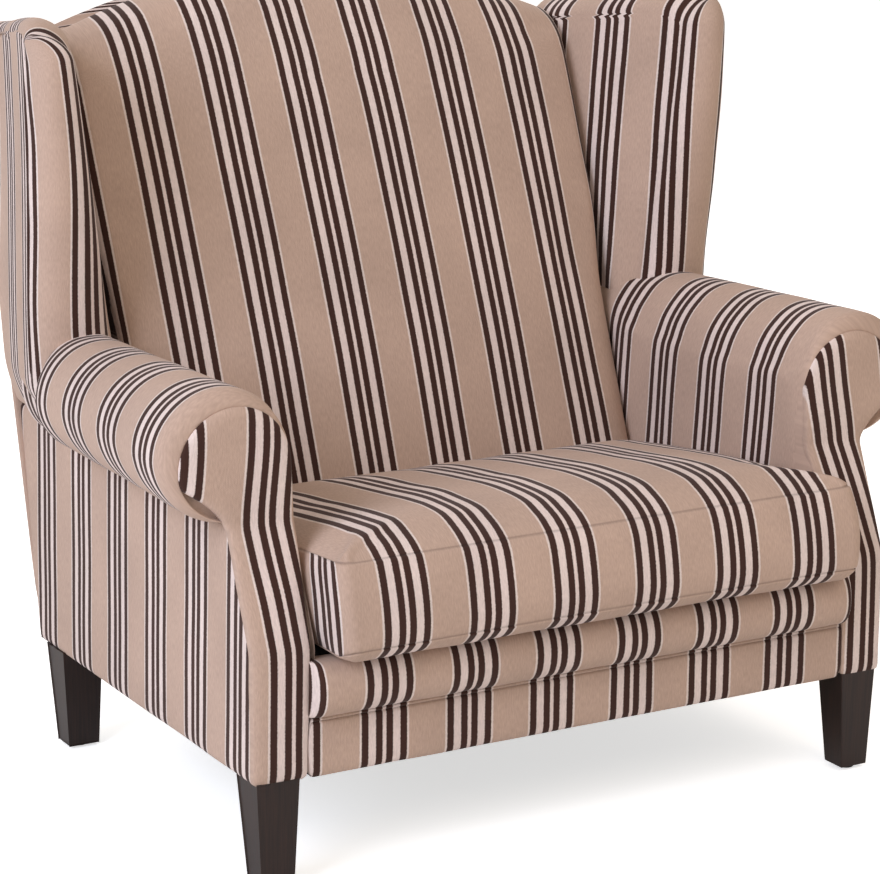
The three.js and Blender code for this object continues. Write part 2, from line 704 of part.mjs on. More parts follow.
// One ring of the wing's padding at a level; full means that it covers the board
function wingRing(z, full, drawIn) {
  const seam = wingFrontAt(z) + wingNose;
  const [outer, inner] = [wingOuterAt(seam, z), wingInnerAt(seam, z)];
  const [mid, half] = [(outer + inner) / 2, (outer - inner) / 2];
  const planeAt = (h) => (full ? outsideBackAt(h) - panelThick - touch : postFrontAt(h) - wingRootGap);
  const rear = wingRearAt(z, planeAt);
  const back = (y) => wingOuterAt(y, z) - (full ? 0 : wingLayers);
  const nose = spread(0, Math.PI, 8).map((a) =>
    [mid + half * Math.cos(a), seam - wingNose * Math.sin(a) ** wingNoseFullness]);
  const face = spread(seam, rear, 5).slice(1).map((y) => [wingInnerAt(y, z), y]);
  const far = spread(rear, seam, 3).map((y) => [back(y), y]);
  return [...nose, ...face, ...far].map(([x, y]) => {
    const centre = (wingInnerAt(Math.max(y, seam), z) + wingOuterAt(y, z)) / 2;
    return new THREE.Vector3(centre + (x - centre) * (1 - drawIn), y, wingHeightAt(y, z));
  });
}

// Padding of a wing: the nose wraps round the board, and a rounded top covers it
function wingPad() {
  const shelf = wingTopFront - wingTopBand;
  const rings = spread(wingSeam, wingFull, 3).map((z) => wingRing(z, false, 0));
  rings.push(...spread(wingFull, shelf, 6).slice(1).map((z) => wingRing(z, false, 0)));
  rings.push(...spread(liftShare, Math.PI / 2, 5).map((a) =>
    wingRing(shelf + wingTopBand * Math.sin(a), true, ridgeShare * (1 - Math.cos(a)))));
  return skin(rings);
}

// A flat layer of the wing behind its nose, a gap inside the outer face
function wingLayer(low, outerGap, thick, grow = 0) {
  const shelf = wingTopFront - wingTopBand - touch + grow;
  const swell = low < wingFull ? spread(low, wingFull, 3).slice(0, 3) : [];
  const heights = [...swell, ...spread(wingFull, shelf, 5)];
  return skin(heights.map((z) => {
    const rear = wingRearAt(z, (h) => outsideBackAt(h) - panelThick - touch + grow);
    const line = [...spread(wingFrontAt(z) + wingNose + touch - grow, wingRootY, 2), rear];
    const place = (y, gap) => new THREE.Vector3(wingOuterAt(y, z) - gap, y, wingHeightAt(y, z));
    const inner = line.map((y) => place(y, outerGap + thick)).reverse();
    return [...line.map((y) => place(y, outerGap)), ...inner];
  }));
}

function addWings() {
  const pocket = wingLayer(wingSeam - touch, -overrun, overrun + wingLayers - touch, touch);
  const besideRoll = slab(armInner, baseWidth, 0, wingRollEnd, 0, rollBottom + rollRadiusRear);
  const pad = cut(wingPad(), armRoll(touch), insideArm(touch), backPost(touch), pocket, besideRoll);
  pair('wing_pad', pad, 'fabric');
  pair('wing_board', wingLayer(wingFull, wingPanelThick + touch, wingBoardThick), 'beech');
  pair('wing_panel', wingLayer(wingSeam + touch, 0, wingPanelThick), 'fabric');
}

// One ring of the back's padding at a share of its height. Above the top rail it is full and
// reaches the outside back, and turn takes it over the rounded top, from 0 to a right angle.
function backRing({ share, full = false, turn = 0 }) {
  const [foot, shelf] = [deckTop + touch, postTop + touch];
  const heightAt = (x) => {
    if (!full) return mix(foot, shelf, share);
    return mix(shelf, archAt(x) - backTopRound, share) + backTopRound * Math.sin(turn);
  };
  const middle = heightAt(0);
  const half = mix(backHalfLow, backHalfHigh, ease((middle - armWallTop) / (2 * rollRadiusRear)));
  const over = 1 - Math.cos(turn);
  const rise = Math.sin((Math.PI * (middle - foot)) / (backHeight - foot));
  const crown = (x) => backCrown * (1 - (x / half) ** 2) * rise;
  const frontAt = (x) => insideBackAt(heightAt(x)) - crown(x) + backTopRun * over;
  const rearAt = (z) => (full ? outsideBackAt(z) - panelThick : postFrontAt(z));
  const behind = (z) => rearAt(z) - touch - backTopEase * over;
  const flat = half - backSideRound;
  const corner = (side) => spread(0, Math.PI / 2, 4).map((a) => {
    const x = side * (flat + backSideRound * Math.sin(a));
    return [x, frontAt(x) + backSideRound * (1 - Math.cos(a)) * (1 - over)];
  });
  return [
    ...corner(-1).reverse(),
    ...spread(-flat, flat, 10).slice(1, 10).map((x) => [x, frontAt(x)]),
    ...corner(1),
    ...spread(half, -half, 10).map((x) => [x, behind(heightAt(x))]),
  ].map(([x, y]) => new THREE.Vector3(x, y, heightAt(x)));
}

// Inside back: a crowned pad that rakes more than the frame and rolls over the arched top
function backPad() {
  const low = spread(0, 1, 9).map((share) => backRing({ share }));
  const high = spread(liftShare, 1, 2).map((share) => backRing({ share, full: true }));
  const top = spread(0, Math.PI / 2, 4).slice(1).map((turn) => backRing({ share: 1, full: true, turn }));
  return skin([...low, ...high, ...top]);
}

// Outside back: a flat panel with the same arch, which widens at the foot of the wings
function outsideBack() {
  const shoulder = (backHalfHigh + touch) / wingRootX;
  const sides = [
    ...spread(-1, -shoulder, 2), ...spread(-shoulder, shoulder, 16), ...spread(shoulder, 1, 2),
  ];
  return skin(sides.filter((side, i) => side !== sides[i - 1]).map((side) => {
    const arch = archAt(Math.min(Math.abs(side), shoulder) * wingRootX) - outsideTopDrop;
    const top = Math.abs(side) > shoulder ? wingTopRear - wingTopBand : arch;
    const heights = [frameBottom, rollBottom, ...spread(wingSeam, wingFull, 3), top];
    const outer = heights.map((z) => [side * wingOuterAt(outsideBackAt(z), z), outsideBackAt(z), z]);
    const inner = outer.map(([x, y, z]) => [x, y - panelThick, z]).reverse();
    return [...outer, ...inner].map((place) => new THREE.Vector3(...place));
  }));
}

function addBack() {
  piece('back_pad', backPad(), 'fabric');
  piece('outside_back', outsideBack(), 'fabric');
}

// One ring of the cushion: a rectangle with round corners whose sides pull in between them
function cushionRing({ front, rear, half, z, drawIn = cushionDrawIn, shrink = 0 }) {
  const keep = 1 - shrink;
  const corner = cushionCorner * keep;
  const [wide, depth, centre] = [half * keep, ((rear - front) / 2) * keep, (rear + front) / 2];
  const at = (sx, sy, angle) => new THREE.Vector2(
    sx * (wide - corner) + corner * Math.cos(angle), sy * (depth - corner) + corner * Math.sin(angle));
  const corners = [[1, 1], [-1, 1], [-1, -1], [1, -1]];
  const ring = corners.flatMap(([sx, sy], quarter) => {
    const [start, end] = [(quarter * Math.PI) / 2, ((quarter + 1) * Math.PI) / 2];
    const round = spread(start, end, 3).map((angle) => at(sx, sy, angle));
    const [from, to] = [round[3], at(...corners[(quarter + 1) % 4], end)];
    const inward = new THREE.Vector2(-Math.cos(end), -Math.sin(end));
    const side = spread(0, 1, cushionSides).slice(1, -1).map((t) =>
      from.clone().lerp(to, t).addScaledVector(inward, drawIn * Math.sin(Math.PI * t)));
    return [...round, ...side];
  });
  return ring.map(({ x, y }) => new THREE.Vector3(x, centre + y, z));
}

// Lowers a ring of the cushion towards the rear, fully from its upper seam on
function slopedDown(ring, { front, rear, under, high }) {
  return ring.map(({ x, y, z }) => {
    const back = Math.max((y - front) / (rear - front), 0);
    const share = Math.min((z - under) / (high - under), 1);
    return new THREE.Vector3(x, y, z - cushionRearDrop * back ** cushionDropBend * share);
  });
}

// Loose box cushion: flat below, tucked in under its lower seam, boxed, then crowned
function seatCushion() {
  const half = armInner - cushionSideGap;
  const [under, low] = [deckTop + touch, deckTop + cushionTuck];
  const high = low + cushionSeamHeight;
  const lowSeamRear = low - (cushionRearDrop * (low - under)) / (high - under);
  const rear = insideBackAt(lowSeamRear) - cushionRearGap;
  const tuck = spread(0, 1, 3).slice(0, 3).map((t) => {
    const inset = cushionTuck * (1 - Math.sin((t * Math.PI) / 2));
    const z = mix(under, low, 1 - Math.cos((t * Math.PI) / 2));
    const front = inset - cushionFrontBottom;
    return cushionRing({ front, rear: rear - inset, half: half - cushionBulge - inset, z });
  });
  const boxing = spread(0, 1, 4).map((t) => {
    const bulge = cushionBulge * Math.sin(Math.PI * t);
    const front = -mix(cushionFrontBottom, cushionFrontTop, t) - bulge;
    return cushionRing({ front, rear, half: half - cushionBulge + bulge, z: mix(low, high, t) });
  });
  const crown = spread(0, 1, 6).slice(1).map((t) => {
    const z = high + cushionCrown * (1 - (1 - t) ** 3);
    const drawIn = cushionDrawIn * (1 - t);
    const inside = { drawIn, shrink: t * crownShare };
    return cushionRing({ front: -cushionFrontTop, rear, half: half - cushionBulge, z, ...inside });
  });
  const slope = { front: -cushionFrontBottom, rear, under, high };
  return skin([...tuck, ...boxing, ...crown].map((ring) => slopedDown(ring, slope)));
}

addLegs();
addSeatFrame();
addUpperFrame();
addSprings();
addBorder();
addArms();
addWings();
addBack();
piece('seat_cushion', seatCushion(), 'fabric');

// The chair stands centred under its own box
chair.position.y = (cushionFrontBottom - backDeep) / 2;

export default chair;
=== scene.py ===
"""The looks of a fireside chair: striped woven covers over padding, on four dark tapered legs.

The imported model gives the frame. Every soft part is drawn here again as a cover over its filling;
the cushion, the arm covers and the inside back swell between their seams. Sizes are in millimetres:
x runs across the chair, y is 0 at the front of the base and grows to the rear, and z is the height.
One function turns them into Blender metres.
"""

import json
import logging
import math
from collections.abc import Callable, Sequence
from dataclasses import dataclass
from enum import Enum

import bmesh
import bpy
from mathutils import Matrix, Vector, noise


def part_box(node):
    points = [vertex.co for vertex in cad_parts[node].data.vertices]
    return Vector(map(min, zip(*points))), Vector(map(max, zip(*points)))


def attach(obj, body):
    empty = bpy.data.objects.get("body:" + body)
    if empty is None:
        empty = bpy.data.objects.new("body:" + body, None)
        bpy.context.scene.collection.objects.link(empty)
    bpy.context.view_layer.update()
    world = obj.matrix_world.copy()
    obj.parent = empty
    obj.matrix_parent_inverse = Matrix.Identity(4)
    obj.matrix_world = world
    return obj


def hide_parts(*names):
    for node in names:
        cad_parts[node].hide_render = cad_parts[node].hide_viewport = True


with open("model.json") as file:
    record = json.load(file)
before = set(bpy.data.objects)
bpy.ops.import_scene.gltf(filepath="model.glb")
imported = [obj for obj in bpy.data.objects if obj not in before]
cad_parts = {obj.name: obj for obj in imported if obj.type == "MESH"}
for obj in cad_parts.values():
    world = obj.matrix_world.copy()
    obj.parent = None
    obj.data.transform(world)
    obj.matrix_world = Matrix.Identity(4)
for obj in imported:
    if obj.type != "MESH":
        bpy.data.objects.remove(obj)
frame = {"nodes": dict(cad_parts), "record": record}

LOG = logging.getLogger("fireside_chair")
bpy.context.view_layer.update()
MM = 0.001
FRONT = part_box("border_band_front")[0][1]  # depth of the base's front in metres
CLOTH_MAP = "cloth"
SEAM_MARK = "seam"  # attribute that is 1 on a seam's stitches and 0 elsewhere; the canvas paints shade into the seams' creases by it
BODY = "chair"

Socket = bpy.types.NodeSocket
Tree = bpy.types.NodeTree
Material = bpy.types.Material
Piece = bpy.types.Object
EditMesh = bmesh.types.BMesh
Point = tuple[float, float, float]
Station = list[tuple[float, float, float, float, float]]  # x, y, z, across, along


def placed(x: float, y: float, z: float) -> Vector:
    """Returns a place on the chair, given in millimetres, as a Blender position in metres."""
    return Vector((x * MM, y * MM + FRONT, z * MM))


def unplaced(place: Vector) -> Vector:
    """Returns a Blender position as a place on the chair in millimetres."""
    return Vector((place.x, place.y - FRONT, place.z)) / MM


def mix(a: float, b: float, share: float) -> float:
    """Returns the value at a share of the way from a to b."""
    return a + (b - a) * share


def within(value: float) -> float:
    """Returns the nearest number from 0 to 1."""
    return min(max(value, 0.0), 1.0)


def ease(value: float) -> float:
    """Returns a smooth step from 0 to 1."""
    t = within(value)
    return t * t * (3 - 2 * t)


def spread(first: float, last: float, steps: int) -> list[float]:
    """Returns evenly spaced numbers from first to last, both included."""
    return [mix(first, last, k / steps) for k in range(steps + 1)]


def gathered(steps: int, share: float = 0.85) -> list[float]:
    """Returns numbers from -1 to 1 that lie closer together at both ends."""
    return [mix(t, t * (1.5 - 0.5 * t * t), share) for t in spread(-1, 1, steps)]


class Side(Enum):
    """The two sides of the chair as the model names them; left is on the camera's side."""

    RIGHT = 1
    LEFT = -1

    @property
    def word(self) -> str:
        """The side's word in the names of nodes."""
        return self.name.lower()


# ---------------------------------------------------------------- finishes


def linear(code: str) -> tuple[float, float, float, float]:
    """Turns an sRGB colour into the linear colour that Blender's sockets take.

    Args:
        code: The colour as six hex digits.

    Returns:
        Linear red, green, blue and an alpha of 1.
    """
    parts = [int(code[i:i + 2], 16) / 255 for i in (0, 2, 4)]
    red, green, blue = (c / 12.92 if c <= 0.04045 else ((c + 0.055) / 1.055) ** 2.4 for c in parts)
    return red, green, blue, 1.0


def fill_in(tree: Tree, node: bpy.types.Node, inputs: dict) -> None:
    """Links or sets a node's inputs, given by name or number.

    Args:
        tree: The material's node tree.
        node: The node.
        inputs: Values, or sockets to link, by the input's name or number.
    """
    for name, value in inputs.items():
        if isinstance(value, Socket):
            tree.links.new(value, node.inputs[name])
        else:
            node.inputs[name].default_value = value


def add_node(
    tree: Tree, kind: str, inputs: dict | None = None, **settings: object
) -> bpy.types.Node:
    """Adds one node to a material.

    Args:
        tree: The material's node tree.
        kind: The node's Blender type, without its ShaderNode prefix.
        inputs: Values or sockets to link, by the input's name or number.
        settings: Properties of the node.

    Returns:
        The new node.
    """
    node = tree.nodes.new("ShaderNode" + kind)
    for name, value in settings.items():
        setattr(node, name, value)
    fill_in(tree, node, inputs or {})
    return node


def math_node(tree: Tree, operation: str, *values: float | Socket) -> Socket:
    """Adds a math node and returns its result."""
    return add_node(tree, "Math", dict(enumerate(values)), operation=operation).outputs[0]


def noise_node(tree: Tree, place: Socket, scale: float = 1.0, **inputs: float) -> Socket:
    """Adds a noise texture at a place and returns its value."""
    return add_node(tree, "TexNoise", {"Vector": place, "Scale": scale, **inputs}).outputs[0]


def bump_node(tree: Tree, height: Socket, strength: float, distance: float) -> Socket:
    """Adds a bump by a height, over a distance in metres, and returns its normal."""
    inputs = {"Strength": strength, "Distance": distance, "Height": height}
    return add_node(tree, "Bump", inputs).outputs[0]


def ramp(tree: Tree, factor: Socket, stops: Sequence[tuple[float, tuple]]) -> Socket:
    """Adds a colour ramp with the given stops and returns its colour socket.

    Args:
        tree: The material's node tree.
        factor: What the ramp is read by.
        stops: Places from 0 to 1 with their linear colours.

    Returns:
        The ramp's colour socket.
    """
    node = add_node(tree, "ValToRGB", {0: factor})
    band = node.color_ramp
    while len(band.elements) < len(stops):
        band.elements.new(0.5)
    for element, (place, colour) in zip(band.elements, stops):
        element.position = place
        element.color = colour
    return node.outputs[0]


def fresh_material(name: str) -> tuple[Material, Tree]:
    """Returns a new material and its tree.

    Args:
        name: Its name.

    Returns:
        The material and its node tree.
    """
    material = bpy.data.materials.new(name)
    material.use_nodes = True
    return material, material.node_tree


def set_shader(tree: Tree, inputs: dict) -> bpy.types.Node:
    """Links or sets inputs of a material's principled shader by name, and returns its node.

    Args:
        tree: The material's node tree.
        inputs: Values, or sockets to link, by the input's name.

    Returns:
        The shader node.
    """
    shader = tree.nodes["Principled BSDF"]
    fill_in(tree, shader, inputs)
    return shader


@dataclass(frozen=True)
class StripedCanvas:
    """Woven cotton canvas: matt, a little hairy, with warp stripes in groups of four dark bands.

    The stripes follow the cloth's own map, whose first coordinate is the distance across them.
    """

    name: str = "striped_woven_canvas"
    ground: str = "BA9F8E"
    pale: str = "DCCAC2"
    dark: str = "3A2119"
    line: str = "DACAC1"
    period: float = 127.0  # from one group to the next
    inner: float = 7.7  # from a group's middle to the middle of an inner dark band
    outer: float = 28.5
    half_band: float = 5.0
    pale_edge: float = 3.0  # the off-white line outside each group
    blur: float = 0.5  # the edge of a band, softened by the threads
    raggedness: float = 1.6  # how far an edge wanders
    thread: float = 2.0  # the real threads are 0.5 mm apart; drawn coarser, so that they show
    slub: float = 9.0  # length of a thicker stretch of thread
    roughness: float = 0.92
    sheen: float = 0.08
    seam_shade: float = 0.68  # how much of its colour is left where shade is painted into the crease of a seam

    def build(self) -> Material:
        """Returns the canvas as a material.

        Returns:
            The finished material.
        """
        material, tree = fresh_material(self.name)
        across, along = self._map(tree)
        colour = self._stripes(tree, self._distance(tree, across, along))
        set_shader(tree, {
            "Base Color": self._faded(tree, colour),
            "Roughness": self.roughness,
            "Sheen Weight": self.sheen,
            "Sheen Roughness": 0.5,
            "Specular IOR Level": 0.25,
            "Normal": self._weave(tree, across, along),
        })
        return material

    def _map(self, tree: Tree) -> tuple[Socket, Socket]:
        """Returns the distances across and along the stripes in metres.

        Args:
            tree: The material's node tree.

        Returns:
            The socket across the stripes and the one along them.
        """
        cloth = add_node(tree, "UVMap", uv_map=CLOTH_MAP)
        parts = add_node(tree, "SeparateXYZ", {0: cloth.outputs[0]})
        return parts.outputs[0], parts.outputs[1]

    def _slubs(
        self, tree: Tree, across: Socket, along: Socket, size: float, stretch: float
    ) -> Socket:
        """Returns soft noise on the cloth, drawn out along the stripes by stretch.

        Args:
            tree: The material's node tree.
            across: Distance across the stripes.
            along: Distance along the stripes.
            size: Length of a thick place in millimetres.
            stretch: How many times shorter it is across the stripes.

        Returns:
            The noise's value.
        """
        scale = 1 / (size * MM)
        wide = math_node(tree, "MULTIPLY", across, scale * stretch)
        deep = math_node(tree, "MULTIPLY", along, scale)
        place = add_node(tree, "CombineXYZ", {0: wide, 1: deep}).outputs[0]
        return noise_node(tree, place, Detail=3.0)

    def _distance(self, tree: Tree, across: Socket, along: Socket) -> Socket:
        """Returns the distance from the nearest group's middle as a share of half a period.

        Args:
            tree: The material's node tree.
            across: Distance across the stripes.
            along: Distance along the stripes.

        Returns:
            A socket from 0 at a group's middle to 1 half-way to the next.
        """
        ragged = self._slubs(tree, across, along, size=3.0, stretch=1.0)
        shift = math_node(tree, "SUBTRACT", ragged, 0.5)
        moved = math_node(tree, "MULTIPLY_ADD", shift, self.raggedness * MM, across)
        turn = math_node(tree, "MULTIPLY", moved, 2 / (self.period * MM))
        return math_node(tree, "PINGPONG", turn, 1.0)

    def _stripes(self, tree: Tree, distance: Socket) -> Socket:
        """Returns the colour of the warp at a distance from a group's middle.

        Args:
            tree: The material's node tree.
            distance: Distance from a group's middle, as a share of half a period.

        Returns:
            The colour socket.
        """
        edges = [
            (self.inner - self.half_band, self.pale, self.dark),
            (self.inner + self.half_band, self.dark, self.pale),
            (self.outer - self.half_band, self.pale, self.dark),
            (self.outer + self.half_band, self.dark, self.line),
            (self.outer + self.half_band + self.pale_edge, self.line, self.ground),
        ]
        half = self.period / 2
        stops = [(0.0, linear(self.pale))]
        for place, before, after in edges:
            stops.append(((place - self.blur) / half, linear(before)))
            stops.append(((place + self.blur) / half, linear(after)))
        return ramp(tree, distance, stops)

    def _faded(self, tree: Tree, colour: Socket) -> Socket:
        """Returns the colour with the unevenness of dyed yarn, and painted shade in the creases of
        seams.

        Args:
            tree: The material's node tree.
            colour: The even colour of the stripes.

        Returns:
            The uneven colour.
        """
        place = add_node(tree, "TexCoord").outputs["Object"]
        patches = noise_node(tree, place, 9.0, Detail=3.0)
        wide = add_node(tree, "MapRange", {0: patches, 1: 0.3, 2: 0.7, 3: 0.93, 4: 1.05})
        across, along = self._map(tree)
        slubs = self._slubs(tree, across, along, self.slub, stretch=5.0)
        fine = add_node(tree, "MapRange", {0: slubs, 1: 0.3, 2: 0.7, 3: 0.9, 4: 1.08})
        both = math_node(tree, "MULTIPLY", wide.outputs[0], fine.outputs[0])
        # painted shade: the colour is darkened along the seams' creases, where shade falls
        stitched = add_node(tree, "Attribute", attribute_name=SEAM_MARK).outputs["Fac"]
        shade = add_node(tree, "MapRange", {0: stitched, 3: 1.0, 4: self.seam_shade})
        shares = math_node(tree, "MULTIPLY", both, shade.outputs[0])
        return add_node(tree, "VectorMath", {0: colour, 3: shares}, operation="SCALE").outputs[0]

    def _weave(self, tree: Tree, across: Socket, along: Socket) -> Socket:
        """Returns the normal of a plain weave, whose threads cross each other.

        Args:
            tree: The material's node tree.
            across: Distance across the stripes.
            along: Distance along the stripes.

        Returns:
            The normal.
        """
        turns = 2 * math.pi / (self.thread * MM)
        waves = [
            math_node(tree, "SINE", math_node(tree, "MULTIPLY", socket, turns))
            for socket in (across, along)
        ]
        threads = math_node(tree, "MULTIPLY", *waves)
        slubs = self._slubs(tree, across, along, self.slub, stretch=4.0)
        height = math_node(tree, "MULTIPLY_ADD", threads, 0.25, slubs)
        return bump_node(tree, height, strength=0.35, distance=1.2 * MM)


@dataclass(frozen=True)
class StainedWood:
    """Planed hardwood: its grain runs up the chair and shows through the stain and lacquer."""

    name: str
    light: str
    dark: str
    grain: float = 3.0  # distance between grain lines across the leg
    length: float = 90.0  # length of a grain line
    roughness: float = 0.36
    coat: float = 0.06

    def build(self) -> Material:
        """Returns the wood as a material whose grain runs up the chair.

        Returns:
            The finished material.
        """
        material, tree = fresh_material(self.name)
        place = add_node(tree, "TexCoord").outputs["Object"]
        scale = Vector((1 / self.grain, 1 / self.grain, 1 / self.length)) / MM
        stretched = add_node(tree, "Mapping", {"Vector": place, "Scale": scale}).outputs[0]
        lines = noise_node(tree, stretched, Detail=6.0, Roughness=0.65)
        low, high = self.roughness - 0.06, self.roughness + 0.1
        colours = [(0.32, linear(self.dark)), (0.68, linear(self.light))]
        set_shader(tree, {
            "Base Color": ramp(tree, lines, colours),
            "Roughness": add_node(tree, "MapRange", {0: lines, 3: low, 4: high}).outputs[0],
            "Specular IOR Level": 0.35,
            "Coat Weight": self.coat,
            "Coat Roughness": 0.2,
            "Normal": bump_node(tree, lines, strength=0.25, distance=0.4 * MM),
        })
        return material


@dataclass(frozen=True)
class PlainSurface:
    """A plain finish with a fine texture: lining cloth, drawn steel or moulded plastic."""

    name: str
    colour: str
    shade: str
    size: float  # size of its texture
    roughness: float
    metallic: float = 0.0
    depth: float = 0.3  # height of its texture

    def build(self) -> Material:
        """Returns the finish as a material.

        Returns:
            The finished material.
        """
        material, tree = fresh_material(self.name)
        place = add_node(tree, "TexCoord").outputs["Object"]
        spots = noise_node(tree, place, 1 / (self.size * MM), Detail=4.0)
        colours = [(0.3, linear(self.shade)), (0.7, linear(self.colour))]
        set_shader(tree, {
            "Base Color": ramp(tree, spots, colours),
            "Roughness": self.roughness,
            "Metallic": self.metallic,
            "Normal": bump_node(tree, spots, strength=0.3, distance=self.depth * MM),
        })
        return material


@dataclass(frozen=True)
class Finishes:
    """All finishes of the chair, built once."""

    canvas: Material
    legs: Material
    beech: Material
    lining: Material
    steel: Material
    plastic: Material

    @classmethod
    def build(cls) -> "Finishes":
        """Returns the finishes of this chair.

        Returns:
            All finishes, in the order of the fields.
        """
        legs = StainedWood("espresso_stained_hardwood", "2E1C15", "190F0B")
        beech = StainedWood("sawn_beech", "D2B085", "B48C60", roughness=0.6, coat=0.0)
        lining = PlainSurface("black_lining_cloth", "2A2826", "1B1A19", 2.0, 0.95)
        steel = PlainSurface("drawn_spring_steel", "A9ACB0", "7E8186", 6.0, 0.32, 1.0, 0.05)
        plastic = PlainSurface("moulded_black_plastic", "1D1D1D", "151515", 3.0, 0.45, depth=0.1)
        kinds = (StripedCanvas(), legs, beech, lining, steel, plastic)
        return cls(*(kind.build() for kind in kinds))


# ---------------------------------------------------------------- mesh tools


def steps_of(size: float, count: int) -> int:
    """Returns the number of a grid's row from a coordinate between -1 and 1."""
    return round((size + 1) / 2 * count)


def lengths(line: Sequence[tuple[float, float]]) -> list[float]:
    """Returns how far along a flat line each of its points lies.

    Args:
        line: The points of the line.

    Returns:
        A distance for each point, the first of them 0.
    """
    at = [0.0]
    for (x0, y0), (x1, y1) in zip(line, line[1:]):
        at.append(at[-1] + math.hypot(x1 - x0, y1 - y0))
    return at


def quarter(share: float) -> float:
    """Returns how far a rounded corner has drawn in at a share of its length, from 0 to near 1."""
    return 1 - math.sqrt(1 - 0.98 * share ** 2)


def lofted(bm: EditMesh, stations: Sequence[Station]) -> None:
    """Adds a sheet through stations that have the same number of points each.

    A grid is made and its points are moved to the stations. A ring repeats its first point at its
    end, and the two are joined when the piece is finished.

    Args:
        bm: The mesh that gets the sheet.
        stations: Rows of points, each with its place and its two cloth coordinates.
    """
    columns, rows = len(stations[0]) - 1, len(stations) - 1
    made = bmesh.ops.create_grid(bm, x_segments=columns, y_segments=rows, size=1.0)
    layer = bm.loops.layers.uv.verify()
    index = {v: (steps_of(v.co.x, columns), steps_of(v.co.y, rows)) for v in made["verts"]}
    faces = {face for v in made["verts"] for face in v.link_faces}
    for face in faces:
        for loop in face.loops:
            column, row = index[loop.vert]
            across, along = stations[row][column][3:]
            loop[layer].uv = (across * MM, along * MM)
    for vert, (column, row) in index.items():
        vert.co = placed(*stations[row][column][:3])


def eased(bm: EditMesh, width: float) -> None:
    """Rounds all edges of a block by a width in millimetres."""
    rounding = {"offset": width * MM, "segments": 3, "profile": 0.5, "material": -1}
    bmesh.ops.bevel(bm, geom=bm.edges[:], affect="EDGES", **rounding)


def linked(name: str, data: bpy.types.ID) -> Piece:
    """Adds an object with the given data to the scene and returns it.

    Args:
        name: Its name.
        data: Its mesh, camera or lamp.

    Returns:
        The new object.
    """
    made = bpy.data.objects.new(name, data)
    bpy.context.scene.collection.objects.link(made)
    return made


def mesh_object(name: str, bm: EditMesh, material: Material) -> Piece:
    """Turns a mesh that is being edited, which is used up, into an object with a finish.

    Args:
        name: Its name.
        bm: Its mesh.
        material: Its finish.

    Returns:
        The new object.
    """
    mesh = bpy.data.meshes.new(name)
    bm.to_mesh(mesh)
    bm.free()
    mesh.materials.append(material)
    return linked(name, mesh)


def finished(
    name: str,
    bm: EditMesh,
    material: Material,
    levels: int = 1,
    seam: Callable[[Vector], bool] | None = None,
) -> Piece:
    """Joins the parts of a mesh, closes its ends and makes it a smooth object.

    Args:
        name: The piece's name.
        bm: Its mesh, which is used up.
        material: Its finish.
        levels: Levels of subdivision, 0 for none.
        seam: Says of a place in millimetres whether a seam runs through it, or None for no seam.

    Returns:
        The new object.
    """
    bmesh.ops.remove_doubles(bm, verts=bm.verts, dist=0.02 * MM)
    bmesh.ops.dissolve_degenerate(bm, edges=bm.edges, dist=0.01 * MM)
    bmesh.ops.holes_fill(bm, edges=[e for e in bm.edges if e.is_boundary], sides=0)
    bmesh.ops.recalc_face_normals(bm, faces=bm.faces)
    if seam:
        layers = bm.edges.layers.float
        crease = layers.get("crease_edge") or layers.new("crease_edge")
        mark = bm.verts.layers.float.new(SEAM_MARK)
        for vert in bm.verts:
            vert[mark] = float(seam(unplaced(vert.co)))
        for edge in bm.edges:
            if all(vert[mark] for vert in edge.verts):
                edge[crease] = 0.8
    piece = mesh_object(name, bm, material)
    mesh = piece.data
    if mesh.uv_layers:
        mesh.uv_layers[0].name = CLOTH_MAP
    mesh.polygons.foreach_set("use_smooth", [True] * len(mesh.polygons))
    if levels:
        smooth = piece.modifiers.new("smooth", "SUBSURF")
        smooth.levels = smooth.render_levels = levels
    return piece


# a firm upholstery canvas, as the cloth simulation's settings name it
CANVAS_CLOTH = {
    "quality": 4,
    "mass": 0.3,
    "tension_stiffness": 12,
    "compression_stiffness": 12,
    "shear_stiffness": 6,
    "bending_stiffness": 0.4,
    "use_pressure": True,
}


def rumple(piece: Piece, height: float, size: float, seed: float) -> None:
    """Gives a cover the slight unevenness of stuffing under it.

    Args:
        piece: The cover.
        height: The most that a point moves, in millimetres.
        size: Size of the unevenness in millimetres.
        seed: A number that differs from piece to piece.
    """
    normals = [v.normal.copy() for v in piece.data.vertices]
    for vert, normal in zip(piece.data.vertices, normals):
        wave = noise.noise(vert.co / (size * MM) + Vector((seed, seed * 2, seed * 3)))
        vert.co += normal * (wave * height * MM)


